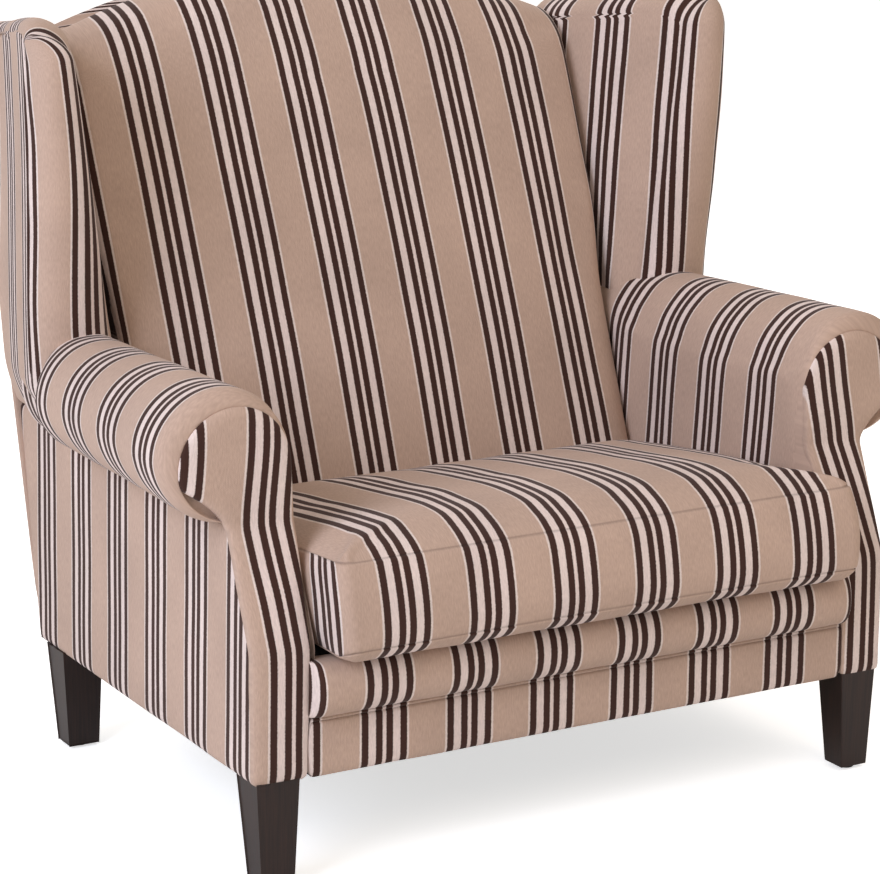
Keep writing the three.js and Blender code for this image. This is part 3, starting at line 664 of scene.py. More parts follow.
def swell(
    piece: Piece,
    held: Callable[[Vector], float],
    pressure: float,
    limit: float,
    frames: int = 16,
) -> None:
    """Blows the cover up a little between its seams by a cloth simulation, and keeps the result.

    Args:
        piece: The cover, before it has any modifier that is not for smoothing.
        held: Gives how firmly a point is held, from 0 to 1, by its place in millimetres.
        pressure: The pressure of the filling.
        limit: The most that a point may move, in millimetres.
        frames: How many steps the simulation takes.
    """
    mesh = piece.data
    start = [v.co.copy() for v in mesh.vertices]
    group = piece.vertex_groups.new(name="seams")
    for vert in mesh.vertices:
        group.add([vert.index], held(unplaced(vert.co)), "REPLACE")
    for modifier in piece.modifiers:
        modifier.show_viewport = False
    cloth = piece.modifiers.new("filling", "CLOTH")
    for setting, value in {**CANVAS_CLOTH, "uniform_pressure_force": pressure}.items():
        setattr(cloth.settings, setting, value)
    cloth.settings.vertex_group_mass = group.name
    cloth.settings.effector_weights.gravity = 0
    cloth.collision_settings.use_collision = False
    cloth.point_cache.frame_start = 1
    cloth.point_cache.frame_end = frames
    scene = bpy.context.scene
    for step in range(1, frames + 1):
        scene.frame_set(step)
    shown = piece.evaluated_get(bpy.context.evaluated_depsgraph_get()).data
    same = len(shown.vertices) == len(start)
    moved = [v.co.copy() for v in shown.vertices] if same else start
    piece.modifiers.remove(cloth)
    piece.vertex_groups.clear()
    for vert, before, after in zip(mesh.vertices, start, moved):
        step = after - before
        if step.length > limit * MM:
            step *= limit * MM / step.length
        vert.co = before + step
    for modifier in piece.modifiers:
        modifier.show_viewport = True
    scene.frame_set(1)
    mesh.update()


# ---------------------------------------------------------------- the chair's sizes


@dataclass(frozen=True)
class Layout:
    """Sizes of the chair that several of its parts share, in millimetres."""

    base_half: float = 489.0
    base_depth: float = 712.0
    base_foot: float = 147.3
    panel: float = 10.0
    deck_top: float = 300.3
    arm_inner: float = 402.0
    roll_bottom: float = 465.0
    roll_front: float = 91.0
    roll_rear: float = 84.0
    roll_flat: float = 0.89  # the roll's lower half is a little flatter than its upper half
    scroll_back: float = 68.0
    knee: float = 319.0
    neck: float = 470.0
    neck_back: float = 63.0
    inside_foot: float = 452.0
    inside_top: float = 766.6
    back_low: float = 399.0
    back_high: float = 415.0
    height: float = 1086.0
    arch_rise: float = 78.0
    lean: float = 0.171
    wing_front: float = 513.0
    wing_bulge: float = 25.0
    wing_nose: float = 44.0
    wing_top_front: float = 1065.0
    wing_top_rear: float = 1020.0
    wing_seam: float = 487.0
    wing_full: float = 565.0
    wing_corner: float = 46.0  # rounding of a wing's upper front corner
    wing_bulge_top: float = 0.77  # share of a wing's height at which its front is foremost
    wing_mouth_low: float = 30.0  # how far outside the arm's wall a wing's nose ends, low
    wing_mouth_high: float = 98.0
    wing_behind_pad: float = 34.0  # how far behind the inside back a wing's inner face runs
    wing_gap: float = 3.0  # between that face's rear end and the pad
    wing_hollow: float = 8.0
    wing_top_round: float = 30.0
    wing_top_run: float = 70.0
    wing_rear_half: float = 504.7  # half the width over both wings, behind their flare
    wing_flare: float = 0.245  # how much a wing spreads for each step towards the front
    flare_end: float = 759.0
    wing_rear: float = 868.5

    def facing_front(self, z: float) -> float:
        """Depth of a facing's front at a height: upright, raked back, then upright again.

        Args:
            z: The height.

        Returns:
            The depth behind the base's front.
        """
        if z <= self.knee:
            return 0.0
        if z <= self.neck:
            return self.neck_back * (z - self.knee) / (self.neck - self.knee)
        return mix(self.neck_back, self.scroll_back, ease((z - self.neck) / self.roll_front))

    def roll_radius(self, y: float) -> float:
        """Radius of an arm's roll at a depth."""
        share = (y - self.scroll_back) / (self.wing_front - self.scroll_back)
        return mix(self.roll_front, self.roll_rear, within(share))

    def outside_back(self, z: float) -> float:
        """Depth of the outside back at a height."""
        return self.base_depth + self.lean * (z - self.base_foot)

    def inside_back(self, z: float) -> float:
        """Depth of the inside back at a height."""
        share = (z - self.deck_top) / (self.height - self.deck_top)
        return mix(self.inside_foot, self.inside_top, share)

    def arch(self, x: float) -> float:
        """Height of the back's arched top across the chair."""
        return self.height - self.arch_rise * (x / self.back_high) ** 2

    def wing_front_at(self, z: float) -> float:
        """Depth of a wing's front, which comes forward towards the top and rounds off there.

        Args:
            z: The height.

        Returns:
            The depth of the nose's foremost line.
        """
        rise = (z - self.wing_full) / (self.wing_top_front - self.wing_full)
        corner = within((z - self.wing_top_front + self.wing_corner) / self.wing_corner)
        swept = self.wing_front - self.wing_bulge * ease(rise / self.wing_bulge_top)
        return swept + self.wing_corner * quarter(corner)

    def wing_outer(self, y: float, z: float) -> float:
        """Distance of a wing's outer face from the middle.

        Args:
            y: The depth.
            z: The height.

        Returns:
            The distance, which grows with the flare above the seam.
        """
        flared = self.wing_rear_half + self.wing_flare * max(self.flare_end - y, 0.0)
        rise = within((z - self.wing_seam) / (self.wing_full - self.wing_seam))
        return mix(self.base_half, flared, math.sin(math.pi / 2 * rise))

    def wing_inner(self, y: float, z: float) -> float:
        """Distance of a wing's inner face from the middle: hollow, and wider apart at the top.

        Args:
            y: The depth.
            z: The height.

        Returns:
            The distance.
        """
        low = self.neck + self.roll_front
        rise = within((z - low) / (self.wing_top_front - low))
        mouth = self.arm_inner + mix(self.wing_mouth_low, self.wing_mouth_high, rise)
        front = self.wing_front_at(z) + self.wing_nose
        rear = self.inside_back(z) + self.wing_behind_pad
        share = within((rear - y) / (rear - front))
        hollow = self.wing_hollow * math.sin(math.pi * share)
        return mix(self.back_high + self.wing_gap, mouth, share) - hollow

    def wing_top(self, y: float) -> float:
        """Height of a wing's top at a depth: it slopes to the rear and rounds off at the front.

        Args:
            y: The depth.

        Returns:
            The height.
        """
        start = self.wing_front_at(self.wing_top_front)
        share = (y - start) / (self.wing_rear - start)
        slope = mix(self.wing_top_front, self.wing_top_rear, share)
        return slope - self.wing_top_round * quarter(within(1 - (y - start) / self.wing_top_run))

    def wing_height(self, y: float, z: float) -> float:
        """Real height of a level of the wing at a depth; the levels follow its sloping top.

        Args:
            y: The depth.
            z: The level, which is a height at the wing's front.

        Returns:
            The height.
        """
        if z <= self.wing_full:
            return z
        share = (z - self.wing_full) / (self.wing_top_front - self.wing_full)
        return z + (self.wing_top(y) - self.wing_top_front) * share


LAYOUT = Layout()


# ---------------------------------------------------------------- parts


@dataclass
class Part:
    """A part of the chair that is drawn again here in place of its plain solids."""

    finishes: Finishes

    def adopt(
        self,
        piece: Piece,
        nodes: Sequence[str],
        body: str = BODY,
        slot: str = "striped_fabric",
        fill: float | None = 0.8,
    ) -> None:
        """Lets a piece stand for nodes of the model.

        Args:
            piece: The new piece.
            nodes: The nodes that it stands for.
            body: The body that it moves with.
            slot: The record's material slot; not used.
            fill: How tightly it is filled, or None if it is not padded; not used.
        """
        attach(piece, body)
        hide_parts(*nodes)
        LOG.info("%s stands for %s", piece.name, ", ".join(nodes))

    def sewn(
        self,
        name: str,
        *sheets: Sequence[Station],
        seam: Callable[[Vector], bool] | None = None,
    ) -> Piece:
        """Sews sheets of striped canvas into one cover.

        Args:
            name: The cover's name.
            sheets: The rows of each sheet.
            seam: Says of a place in millimetres whether a seam runs through it, or None.

        Returns:
            The cover.
        """
        bm = bmesh.new()
        for rows in sheets:
            lofted(bm, rows)
        return finished(name, bm, self.finishes.canvas, seam=seam)


@dataclass
class SidedPart(Part):
    """A part of one side of the chair. Its sheets are drawn for the right side."""

    side: Side

    def sewn(
        self,
        name: str,
        *sheets: Sequence[Station],
        seam: Callable[[Vector], bool] | None = None,
    ) -> Piece:
        """Sews sheets into a cover for this side, and adds the side's word to its name.

        Args:
            name: The cover's name without the side.
            sheets: The rows of each sheet, drawn for the right side.
            seam: Says of a place in millimetres whether a seam runs through it, or None.

        Returns:
            The cover.
        """
        turned = [
            [[(x * self.side.value, *rest) for x, *rest in row] for row in rows] for rows in sheets
        ]
        return super().sewn(f"{name}_{self.side.word}", *turned, seam=seam)


@dataclass
class SeatCushion(Part):
    """The loose box cushion: a crowned top, a strip between two seams and a tucked underside."""

    half: float = 400.0
    front_top: float = 43.0
    front_bottom: float = 66.0
    under: float = 300.6
    low_seam: float = 324.3
    seam_rise: float = 112.0
    crown: float = 40.0
    corner: float = 20.0
    draw_in: float = 6.0
    bulge: float = 6.0
    spread_out: float = 13.0  # how much further its right front corner reaches, ahead of the arm
    stripe_middle: float = 71.5
    groove: float = 3.0  # how far the seams are pulled in
    rear_drop: float = 60.0  # how much lower the upper seam lies at the rear
    side_hang: float = 11.0  # how far the lower edge hangs at the sides
    boxing_run: float = 120.0  # length of cloth from seam to seam
    half_deep: float = 250.0
    shoulder: float = 0.42  # share of the crown that rises close to the seam
    shoulder_run: float = 21.0
    crown_power: float = 2.4
    turn_up: float = 38.0  # how far in from its edge the underside turns up
    columns: int = 112
    deep: int = 64

    @property
    def rear(self) -> float:
        """Depth of the cushion's rear, just ahead of the back."""
        return LAYOUT.inside_back(self.low_seam - 10.5) - 3.0

    def settle(self, piece: Piece) -> None:
        """Lowers the cover to its rear, as the seat slopes, and the lower edge of its sides.

        Args:
            piece: The cushion's cover.
        """
        reach, tall = self.rear + self.front_bottom, self.low_seam + self.seam_rise - self.under
        for vert in piece.data.vertices:
            place = unplaced(vert.co)
            back = max((place.y + self.front_bottom) / reach, 0.0) ** 1.3
            above, turned_up = place.z - self.under, self.low_seam - self.under
            slope = self.rear_drop * back * within(above / tall)
            hem = within(above / turned_up) - within((place.z - self.low_seam) / 60)
            side = within((abs(place.x) - 365) / 20) * within((place.y + 64) / 30)
            vert.co.z -= (slope + self.side_hang * side * hem) * MM

    def outline(self, s: float, t: float, front: float, grow: float) -> tuple[float, float]:
        """Returns a place in the cushion's outline.

        Args:
            s: Share across, from -1 to 1.
            t: Share from front to rear, from -1 to 1.
            front: How far the front stands proud of the base.
            grow: How far the sides stand out.

        Returns:
            Its x and y, with round corners and sides that pull in between them.
        """
        wide, deep = self.half - self.bulge + grow, (self.rear + front) / 2 + grow
        x, y = s * wide, t * deep
        ax, ay = abs(x) - (wide - self.corner), abs(y) - (deep - self.corner)
        if ax > 0 and ay > 0:
            reach, length = max(ax, ay), math.hypot(ax, ay)
            x = math.copysign(wide - self.corner + ax * reach / length, x)
            y = math.copysign(deep - self.corner + ay * reach / length, y)
        x -= math.copysign(self.draw_in * math.cos(math.pi / 2 * t) * abs(s) ** 6, x)
        y -= math.copysign(self.draw_in * 0.7 * math.cos(math.pi / 2 * s) * abs(t) ** 6, y)
        y += (self.rear - front) / 2
        x += self.spread_out * ease((s - 0.7) / 0.3) * ease((8 - y) / 45)
        return x, y

    def face(self, front: float, height: Callable[[float, float], float]) -> list[Station]:
        """Returns the rows of the top or the underside.

        Args:
            front: How far its front stands proud of the base.
            height: Gives its height by the distance from the seam, in millimetres and as a share.

        Returns:
            The rows from front to rear.
        """
        rows = []
        for t in gathered(self.deep):
            row = []
            for s in gathered(self.columns):
                from_seam = min((1 - abs(s)) * self.half, (1 - abs(t)) * self.half_deep)
                x, y = self.outline(s, t, front, 0.0 if from_seam > 0 else -self.groove)
                z = height(from_seam, 1 - max(abs(s), abs(t)))
                row.append((x, y, z, x - self.stripe_middle, y))
            rows.append(row)
        return rows

    def top_height(self, from_seam: float, share: float) -> float:
        """Returns the height of the crowned top, which rises fast at the seam and slowly beyond.

        Args:
            from_seam: Distance from the seam in millimetres.
            share: Distance from the seam as a share of the way to the middle.

        Returns:
            The height.
        """
        edge = within(share / 0.8)
        near = self.shoulder * (1 - math.exp(-from_seam / self.shoulder_run))
        rise = near + (1 - self.shoulder) * (1 - (1 - edge) ** self.crown_power)
        return self.low_seam + self.seam_rise + self.crown * rise

    def under_height(self, from_seam: float, share: float) -> float:
        """Returns the height of the underside, which turns up to the lower seam at its edges."""
        turned = 1 - (1 - within(from_seam / self.turn_up)) ** 2
        return self.low_seam + (self.under - self.low_seam) * turned

    def boxing(self) -> list[Station]:
        """Returns the rows of the strip that runs round the cushion between its two seams.

        Returns:
            The rows from the lower seam to the upper one.
        """
        s_line, t_line = gathered(self.columns), gathered(self.deep)
        half = self.columns // 2
        walk = [(s, 1.0) for s in s_line[half::-1]] + [(-1.0, t) for t in t_line[-2::-1]]
        walk += [(s, -1.0) for s in s_line[1:]] + [(1.0, t) for t in t_line[1:]]
        walk += [(s, 1.0) for s in s_line[-2:half - 1:-1]]
        rows = []
        for share in self.boxing_shares():
            front = mix(self.front_bottom, self.front_top, share)
            stuffed = self.bulge * math.sin(math.pi * share) ** 0.8
            grow = stuffed if 0 < share < 1 else -self.groove
            line = [self.outline(s, t, front, grow) for s, t in walk]
            at = lengths(line)
            middle = at[self.columns + self.deep]  # the middle of the front
            z = mix(self.low_seam, self.low_seam + self.seam_rise, share)
            rows.append([
                (x, y, z, length - middle - self.stripe_middle, share * self.boxing_run)
                for (x, y), length in zip(line, at)
            ])
        return rows

    def boxing_shares(self) -> list[float]:
        """Returns the heights of the boxing's rows, closer together at the seams."""
        return [0.0, 0.015, 0.04, *spread(0.09, 0.91, 11), 0.96, 0.985, 1.0]

    def on_seam(self, place: Vector) -> bool:
        """Returns whether a point lies on one of the two seams."""
        above = place.z - self.low_seam
        return min(abs(above), abs(above - self.seam_rise)) < 0.1

    def held(self, place: Vector) -> float:
        """Returns how firmly a point is held: fully on the two seams and the flat underside."""
        return 1.0 if self.on_seam(place) or place.z < self.low_seam - 4 else 0.0

    def make(self) -> None:
        """Builds the cushion."""
        top = self.face(self.front_top, self.top_height)
        underside = self.face(self.front_bottom, self.under_height)
        piece = self.sewn("cushion_cover", top, underside, self.boxing(), seam=self.on_seam)
        swell(piece, self.held, pressure=1.0, limit=2.5)
        self.settle(piece)
        rumple(piece, 1.5, 70.0, 3.1)
        self.adopt(piece, ["seat_cushion"], body="seat_cushion", fill=0.75)


@dataclass
class ArmCover(SidedPart):
    """One arm's cover: up the inside of the arm, over the roll and into the seam below it."""

    stripe_middle: float
    foot: float = 217.6
    rear: float = 645.0
    wall: float = 43.0
    stripe_scale: float = 127.0 / 122.0
    rim: float = 4.4  # how far behind the facing's face its front lies
    tacked: float = 20.6  # how far behind that face the cloth ends under the facing
    rounded: float = 24.0  # how far behind that face the rounding of the front ends
    facing_radius: float = 79.3
    under_facing: float = 3.0  # how far the cloth runs in under the facing
    rear_tuck: float = 0.42  # share by which the roll's outer half draws in at the rear
    tuck_start: float = 500.0  # depth from which it does
    tuck_run: float = 60.0
    lean: float = 0.08  # how much the stripes lean on the wall
    lean_top: float = 600.0  # height below which they do
    pull: float = 16.0  # how far forward the stripes end under the roll
    pull_fade: float = 0.0013  # share of that pull which goes with each step to the rear
    pull_start: float = 70.0
    plain: float = -40.0  # the nearest plain cloth to the front's stripes
    plain_wall: float = -88.0  # the furthest that the wall's stripes may reach to the front

    def section(self, radius: float, inset: float, tuck: float) -> list[tuple[float, float]]:
        """Returns the ring of an arm across the chair, in x and z.

        Args:
            radius: The roll's radius.
            inset: How far the whole cover draws in.
            tuck: Share by which the outer half of the roll draws in.

        Returns:
            The points, from the wall's foot over the roll and back to it.
        """
        inner = LAYOUT.arm_inner + inset
        cx, cz = LAYOUT.arm_inner + radius, LAYOUT.roll_bottom + radius
        ring = [(inner, z) for z in spread(self.foot, cz, 26)[:-1]]
        for angle in spread(math.pi, -math.pi / 2, 60):
            x, z = (radius - inset) * math.cos(angle), (radius - inset) * math.sin(angle)
            x *= 1 - tuck if x > 0 else 1
            z *= LAYOUT.roll_flat if z < 0 else 1
            ring.append((cx + x, cz + z))
        low, side = cz - (radius - inset) * LAYOUT.roll_flat, LAYOUT.arm_inner + self.wall
        ring += [(x, low) for x in spread(cx, side, 4)[1:]]
        ring += [(side, z) for z in spread(low, self.foot, 6)[1:]]
        ring += [(x, self.foot) for x in spread(side, inner, 3)[1:]]
        return ring

    def stations(self) -> list[Station]:
        """Returns the rings of the arm from the facing to the wing.

        Returns:
            The rings from front to rear.
        """
        rows = [self.ring(self.tacked, 0.0, 1.0)]
        for angle in spread(math.pi / 2, 0, 12):
            offset = self.rim + (self.rounded - self.rim) * (1 - math.sin(angle))
            rows.append(self.ring(offset, 0.0, 1 - math.cos(angle)))
        return rows + [self.ring(self.rounded, share, 0.0) for share in spread(0, 1, 56)[1:]]

    def ring(self, offset: float, share: float, turned: float) -> Station:
        """Returns one ring of the cover.

        Args:
            offset: How far it lies behind the facing.
            share: Share of the way from there to the rear.
            turned: Share by which the cloth has turned in round the front to the facing's outline.

        Returns:
            The ring's points.
        """
        guess = mix(LAYOUT.scroll_back + offset, self.rear, share)
        tuck = self.rear_tuck * ease((guess - self.tuck_start) / self.tuck_run)
        radius = mix(LAYOUT.roll_radius(guess), self.facing_radius, turned)
        section = self.section(radius, self.under_facing * turned, tuck)
        ring = []
        for (x, z), length in zip(section, lengths(section)):
            y = mix(LAYOUT.facing_front(z) + offset, self.rear, share)
            # it leans a little on the wall, runs forward under the roll and is plain in front
            if x < LAYOUT.arm_inner + 15:
                pulled = -self.lean * max(self.lean_top - z, 0.0)
            else:
                under = within((LAYOUT.roll_bottom + radius - z) / radius)
                left = 1 - self.pull_fade * max(y - self.pull_start, 0.0)
                pulled = self.pull * (under * left)
            across = max((y - self.stripe_middle + pulled) * self.stripe_scale, self.plain_wall)
            ring.append((x, y, z, min(across, self.plain) if turned > 0 else across, length))
        return ring

    def held(self, place: Vector) -> float:
        """Returns how firmly a point is held: by the facing, the seam below and the foot.

        Args:
            place: The point's place in millimetres.

        Returns:
            From 0 for free to 1 for fully held.
        """
        if place.y < LAYOUT.facing_front(place.z) + 9 or place.y > 560 or place.z < 300:
            return 1.0
        return 1.0 if abs(place.x) > 440 and place.z < LAYOUT.roll_bottom + 3 else 0.0

    def make(self) -> None:
        """Builds the cover of this arm."""
        piece = self.sewn("arm_cover", self.stations())
        swell(piece, self.held, pressure=1.5, limit=3.0)
        rumple(piece, 1.2, 90.0, 5.3 * self.side.value)
        self.adopt(piece, [f"arm_roll_{self.side.word}", f"inside_arm_{self.side.word}"])


@dataclass
class Facing(SidedPart):
    """The padded facing at an arm's front: a scroll, a neck and a straight foot in one panel."""

    stripe_path: Sequence[tuple[float, float]]  # heights, and how far from the chair's middle
    foot_inner: float = 417.0
    foot_lean: float = 6.0  # how much nearer to the middle the foot's inner edge is at the knee
    dome: float = 5.5
    thick: float = 20.0
    radius: float = 79.0
    gap: float = 0.3  # between the facing and the solids' outline
    neck_foot: float = 458.0
    cove_foot: float = 461.0
    cove_rise: float = 62.0
    proud: float = 6.0  # how far its padded foot stands out past the base
    hang: float = 5.0  # how far the cloth hangs below the base

    @property
    def centre(self) -> tuple[float, float]:
        """The middle of the scroll, across the chair and in height."""
        out = self.radius + self.gap
        return LAYOUT.arm_inner + out, LAYOUT.roll_bottom + out

    def edges(self, z: float) -> tuple[float, float]:
        """Returns the inner and outer edge of the facing at a height.

        Args:
            z: The height.

        Returns:
            The distances of both edges from the chair's middle.
        """
        cx, cz = self.centre
        level = (z - cz) / (LAYOUT.roll_flat if z < cz else 1.0)
        reach = math.sqrt(max(self.radius ** 2 - level ** 2, 0.0))
        if z > cz:
            inner = cx - reach
        elif z > LAYOUT.knee:
            raked = ease((z - LAYOUT.knee) / (LAYOUT.neck - LAYOUT.knee))
            inner = mix(self.foot_inner - self.foot_lean, LAYOUT.arm_inner + self.gap, raked)
        else:
            rise = (z - LAYOUT.base_foot) / (LAYOUT.knee - LAYOUT.base_foot)
            inner = self.foot_inner - self.foot_lean * ease(rise)
        cove = within((z - self.cove_foot) / self.cove_rise)
        if cove >= 1:
            return inner, cx + reach
        return inner, mix(LAYOUT.base_half + self.proud, cx + self.radius * 0.93, cove ** 1.7)

    def middle(self, z: float) -> float:
        """Returns the distance of the main group of stripes from the chair's middle at a height.

        Args:
            z: The height.

        Returns:
            The distance, smoothed over the levels close by.
        """
        total = 0.0
        path = self.stripe_path
        for level in (z - 14, z, z + 14):
            below = max([place for place in path if place[0] <= level], default=path[0])
            above = min([place for place in path if place[0] > level], default=path[-1])
            gap = above[0] - below[0]
            total += mix(below[1], above[1], (level - below[0]) / gap if gap > 0 else 0.0)
        return total / 3

    def heights(self) -> list[float]:
        """Returns the heights of the rings, closer together at the neck and the scroll's top.

        Returns:
            The heights from the foot to the top.
        """
        cz = self.centre[1]
        low = spread(LAYOUT.base_foot - self.hang, self.neck_foot, 30)
        mid = spread(self.neck_foot, cz, 16)[1:]
        return low + mid + [cz + self.radius * math.sin(a) for a in spread(0, math.pi / 2, 18)[1:]]

    def ring(self, z: float) -> Station:
        """Returns the ring at a height, over the outer edge, the domed front and the inner edge.

        Args:
            z: The height.

        Returns:
            The ring's points.
        """
        inner, outer = self.edges(z)
        cx, cz = self.centre
        line = [(outer, self.thick), (outer, self.thick / 2)]
        for share in [0.0, 0.02, 0.05, 0.1, *spread(0.18, 0.82, 8), 0.9, 0.95, 0.98, 1.0]:
            x = mix(outer, inner, share)
            edge = min(x - inner, outer - x, z - LAYOUT.base_foot + self.hang)
            if z > cz:
                edge = self.radius - math.hypot(x - cx, z - cz)
            line.append((x, 2.0 - self.dome * (1 - math.exp(-max(edge, 0.0) / 6.0))))
        line += [(inner, self.thick / 2), (inner, self.thick), (outer, self.thick)]
        front, middle = LAYOUT.facing_front(z), self.middle(z)
        return [(x, front + depth, z, x - middle, z) for x, depth in line]

    def make(self) -> None:
        """Builds this facing."""
        piece = self.sewn("facing_cover", [self.ring(z) for z in self.heights()])
        rumple(piece, 0.8, 60.0, 7.7 * self.side.value)
        self.adopt(piece, [f"arm_facing_{self.side.word}"])


@dataclass
class SidePanel(SidedPart):
    """The outside of the base and arm: cloth drawn over thin wadding on a board."""

    stripe_middle: float = 37.5
    stripe_scale: float = 127.0 / 124.95
    lean: float = 0.045  # how much the stripes lean forward towards the top
    round_off: float = 7.0
    proud: float = 6.0  # how far it stands out past the base at the front
    hang: float = 4.0  # how far the cloth hangs below the base
    seam_front: float = 464.7  # height of the seam above it in the model, under the roll
    seam_rear: float = 486.7  # and under the wing
    climb_start: float = 545.0  # depth from which the seam climbs
    climb_run: float = 30.0
    stripe_level: float = 400.0  # height at which the stripes' depth is given

    def top(self, y: float) -> float:
        """Returns the height of the seam above the panel: level under the roll, then it climbs.

        Args:
            y: The depth.

        Returns:
            The height.
        """
        lift = LAYOUT.roll_front * (1 - LAYOUT.roll_flat)
        climbed = ease((y - self.climb_start) / self.climb_run)
        return mix(self.seam_front + lift, self.seam_rear, climbed)

    def ring(self, share: float) -> Station:
        """Returns the upright ring at a share of the depth.

        Args:
            share: Share of the depth, from 0 at the front to 1 at the rear.

        Returns:
            The ring's points.
        """
        foot = LAYOUT.base_foot - self.hang
        top = self.top(mix(0.0, LAYOUT.outside_back(450.0), share))
        line = []
        for rise in [0.0, 0.006, 0.015, 0.03, *spread(0.06, 0.94, 14), 0.97, 0.985, 0.994, 1.0]:
            z = mix(foot, top, rise)
            y = mix(LAYOUT.facing_front(z) + 2.6, LAYOUT.outside_back(z) - 1.0, share)
            edge = min(z - foot, top - z, share * 700 + 5, (1 - share) * 700)
            proud = self.proud * (1 - share)
            line.append((LAYOUT.base_half + proud - self.round_off * math.exp(-edge / 4.0), y, z))
        inner = LAYOUT.base_half - LAYOUT.panel + 0.3
        line += [(inner, y, z) for _, y, z in (line[-1], line[len(line) // 2], line[0])]
        line.append(line[0])
        station = []
        for x, y, z in line:
            shift = self.stripe_middle + self.lean * (self.stripe_level - z)
            station.append((x, y, z, (y - shift) * self.stripe_scale, z))
        return station

    def make(self) -> None:
        """Builds this side's panel, ring by ring from front to rear."""
        shares = [0.0, 0.004, 0.01, 0.02, *spread(0.04, 0.96, 44), 0.98, 0.99, 0.996, 1.0]
        piece = self.sewn("side_cover", [self.ring(share) for share in shares])
        rumple(piece, 0.9, 110.0, 9.1 * self.side.value)
        self.adopt(piece, [f"side_panel_{self.side.word}"], fill=0.9)


@dataclass
class Border(Part):
    """The front border below the cushion: a stuffed lip over a flat band, with a seam between."""

    left: float = -416.4
    right: float = 430.0
    hang: float = 5.0  # how far the cloth hangs below the base
    end_round: float = 15.0  # how far from its ends the lip turns back
    band_top: float = 224.3
    lip_top: float = 300.0
    proud: float = 30.0
    seam_drop: float = 6.2  # how far below the band's top its stitched fold lies
    band_stripes: float = 75.0  # where the band's middle group of stripes runs
    lip_stripes: float = 67.0

    def band_ring(self, x: float) -> Station:
        """Returns an upright ring of the flat band: its front with the fold, and its back.

        Args:
            x: The place across the chair.

        Returns:
            The ring's points.
        """
        foot = LAYOUT.base_foot - self.hang
        rises = [0.0, 0.8, 2.2, 4.8, *spread(10.0, 60.0, 8), 64.0, 67.0]
        drops = (8.5, 7.2, self.seam_drop, 5.0, 3.0, 1.4, 0.0)
        pucker = 0.5 * noise.noise(Vector((x / 17.0, 5.0, 0.0)))
        line = []
        for z in [foot + rise for rise in rises] + [self.band_top - drop for drop in drops]:
            drop = self.band_top - z
            fold = 2.6 * math.exp(-((drop - 6.4) / 1.1) ** 2) + 3.4 * math.exp(-drop / 1.2)
            y = 0.5 + 5.5 * math.exp(-(z - foot) / 4.0) + fold + pucker * math.exp(-drop / 12.0)
            line.append((y, z))
        line += [(19.8, self.band_top), (19.8, LAYOUT.base_foot), line[0]]
        return [(x, y, z, x - self.band_stripes, z) for y, z in line]

    def lip_places(self) -> list[tuple[float, float, float]]:
        """Returns the lip's sections: x, share of the full depth, and place across the stripes.

        Returns:
            The sections from the left end to the right end.
        """
        run = math.pi / 2 * (self.proud + self.end_round) / 2
        turns = spread(math.pi / 2, 0, 10)[:-1]
        first, last = self.left + self.end_round, self.right - self.end_round
        ends = [(self.end_round * math.sin(a), math.cos(a), run * a / (math.pi / 2)) for a in turns]
        places = [(first - out, full, first - along) for out, full, along in ends]
        places += [(x, 1.0, x) for x in spread(first, last, 110)]
        return places + [(last + out, full, last + along) for out, full, along in reversed(ends)]

    def lip_ring(self, x: float, full: float, across: float) -> Station:
        """Returns a ring of the stuffed lip, which is pinched at the seam below it.

        Args:
            x: Its place across the chair.
            full: Share of the lip's full depth there.
            across: Its place across the stripes.

        Returns:
            The ring's points.
        """
        low, tall = self.band_top + 0.4, self.lip_top - self.band_top - 0.4
        wave = 1.2 * noise.noise(Vector((x / 30.0, 2.0, 0.0)))
        line = []
        for angle in spread(0, math.pi, 22):
            out, share = full * math.sin(angle) ** 0.8, (1 - math.cos(angle)) / 2
            y = 7.0 - (self.proud + 7.0 + wave) * out - 12.0 * full * share * (1 - out)
            line.append((y, low + tall * share, low + tall * share))
        line += [(20.0, self.lip_top, 300.0), (26.0, self.lip_top, 306.0), (26.0, low, 226.0)]
        line.append(line[0])
        return [(x, y, z, across - self.lip_stripes, along) for y, z, along in line]

    def on_fold(self, place: Vector) -> bool:
        """Returns whether a point lies on the stitched fold along the top of the band."""
        return abs(place.z - self.band_top + self.seam_drop) < 0.1

    def make(self) -> None:
        """Builds the band and the lip."""
        rows = [self.band_ring(x) for x in spread(self.left, self.right, 90)]
        band = self.sewn("border_band_cover", rows, seam=self.on_fold)
        rumple(band, 0.6, 60.0, 1.3)
        self.adopt(band, ["border_band_front"], fill=0.9)
        lip = self.sewn("border_lip_cover", [self.lip_ring(*place) for place in self.lip_places()])
        rumple(lip, 1.0, 45.0, 2.3)
        self.adopt(lip, ["border_lip_front"], fill=0.85)


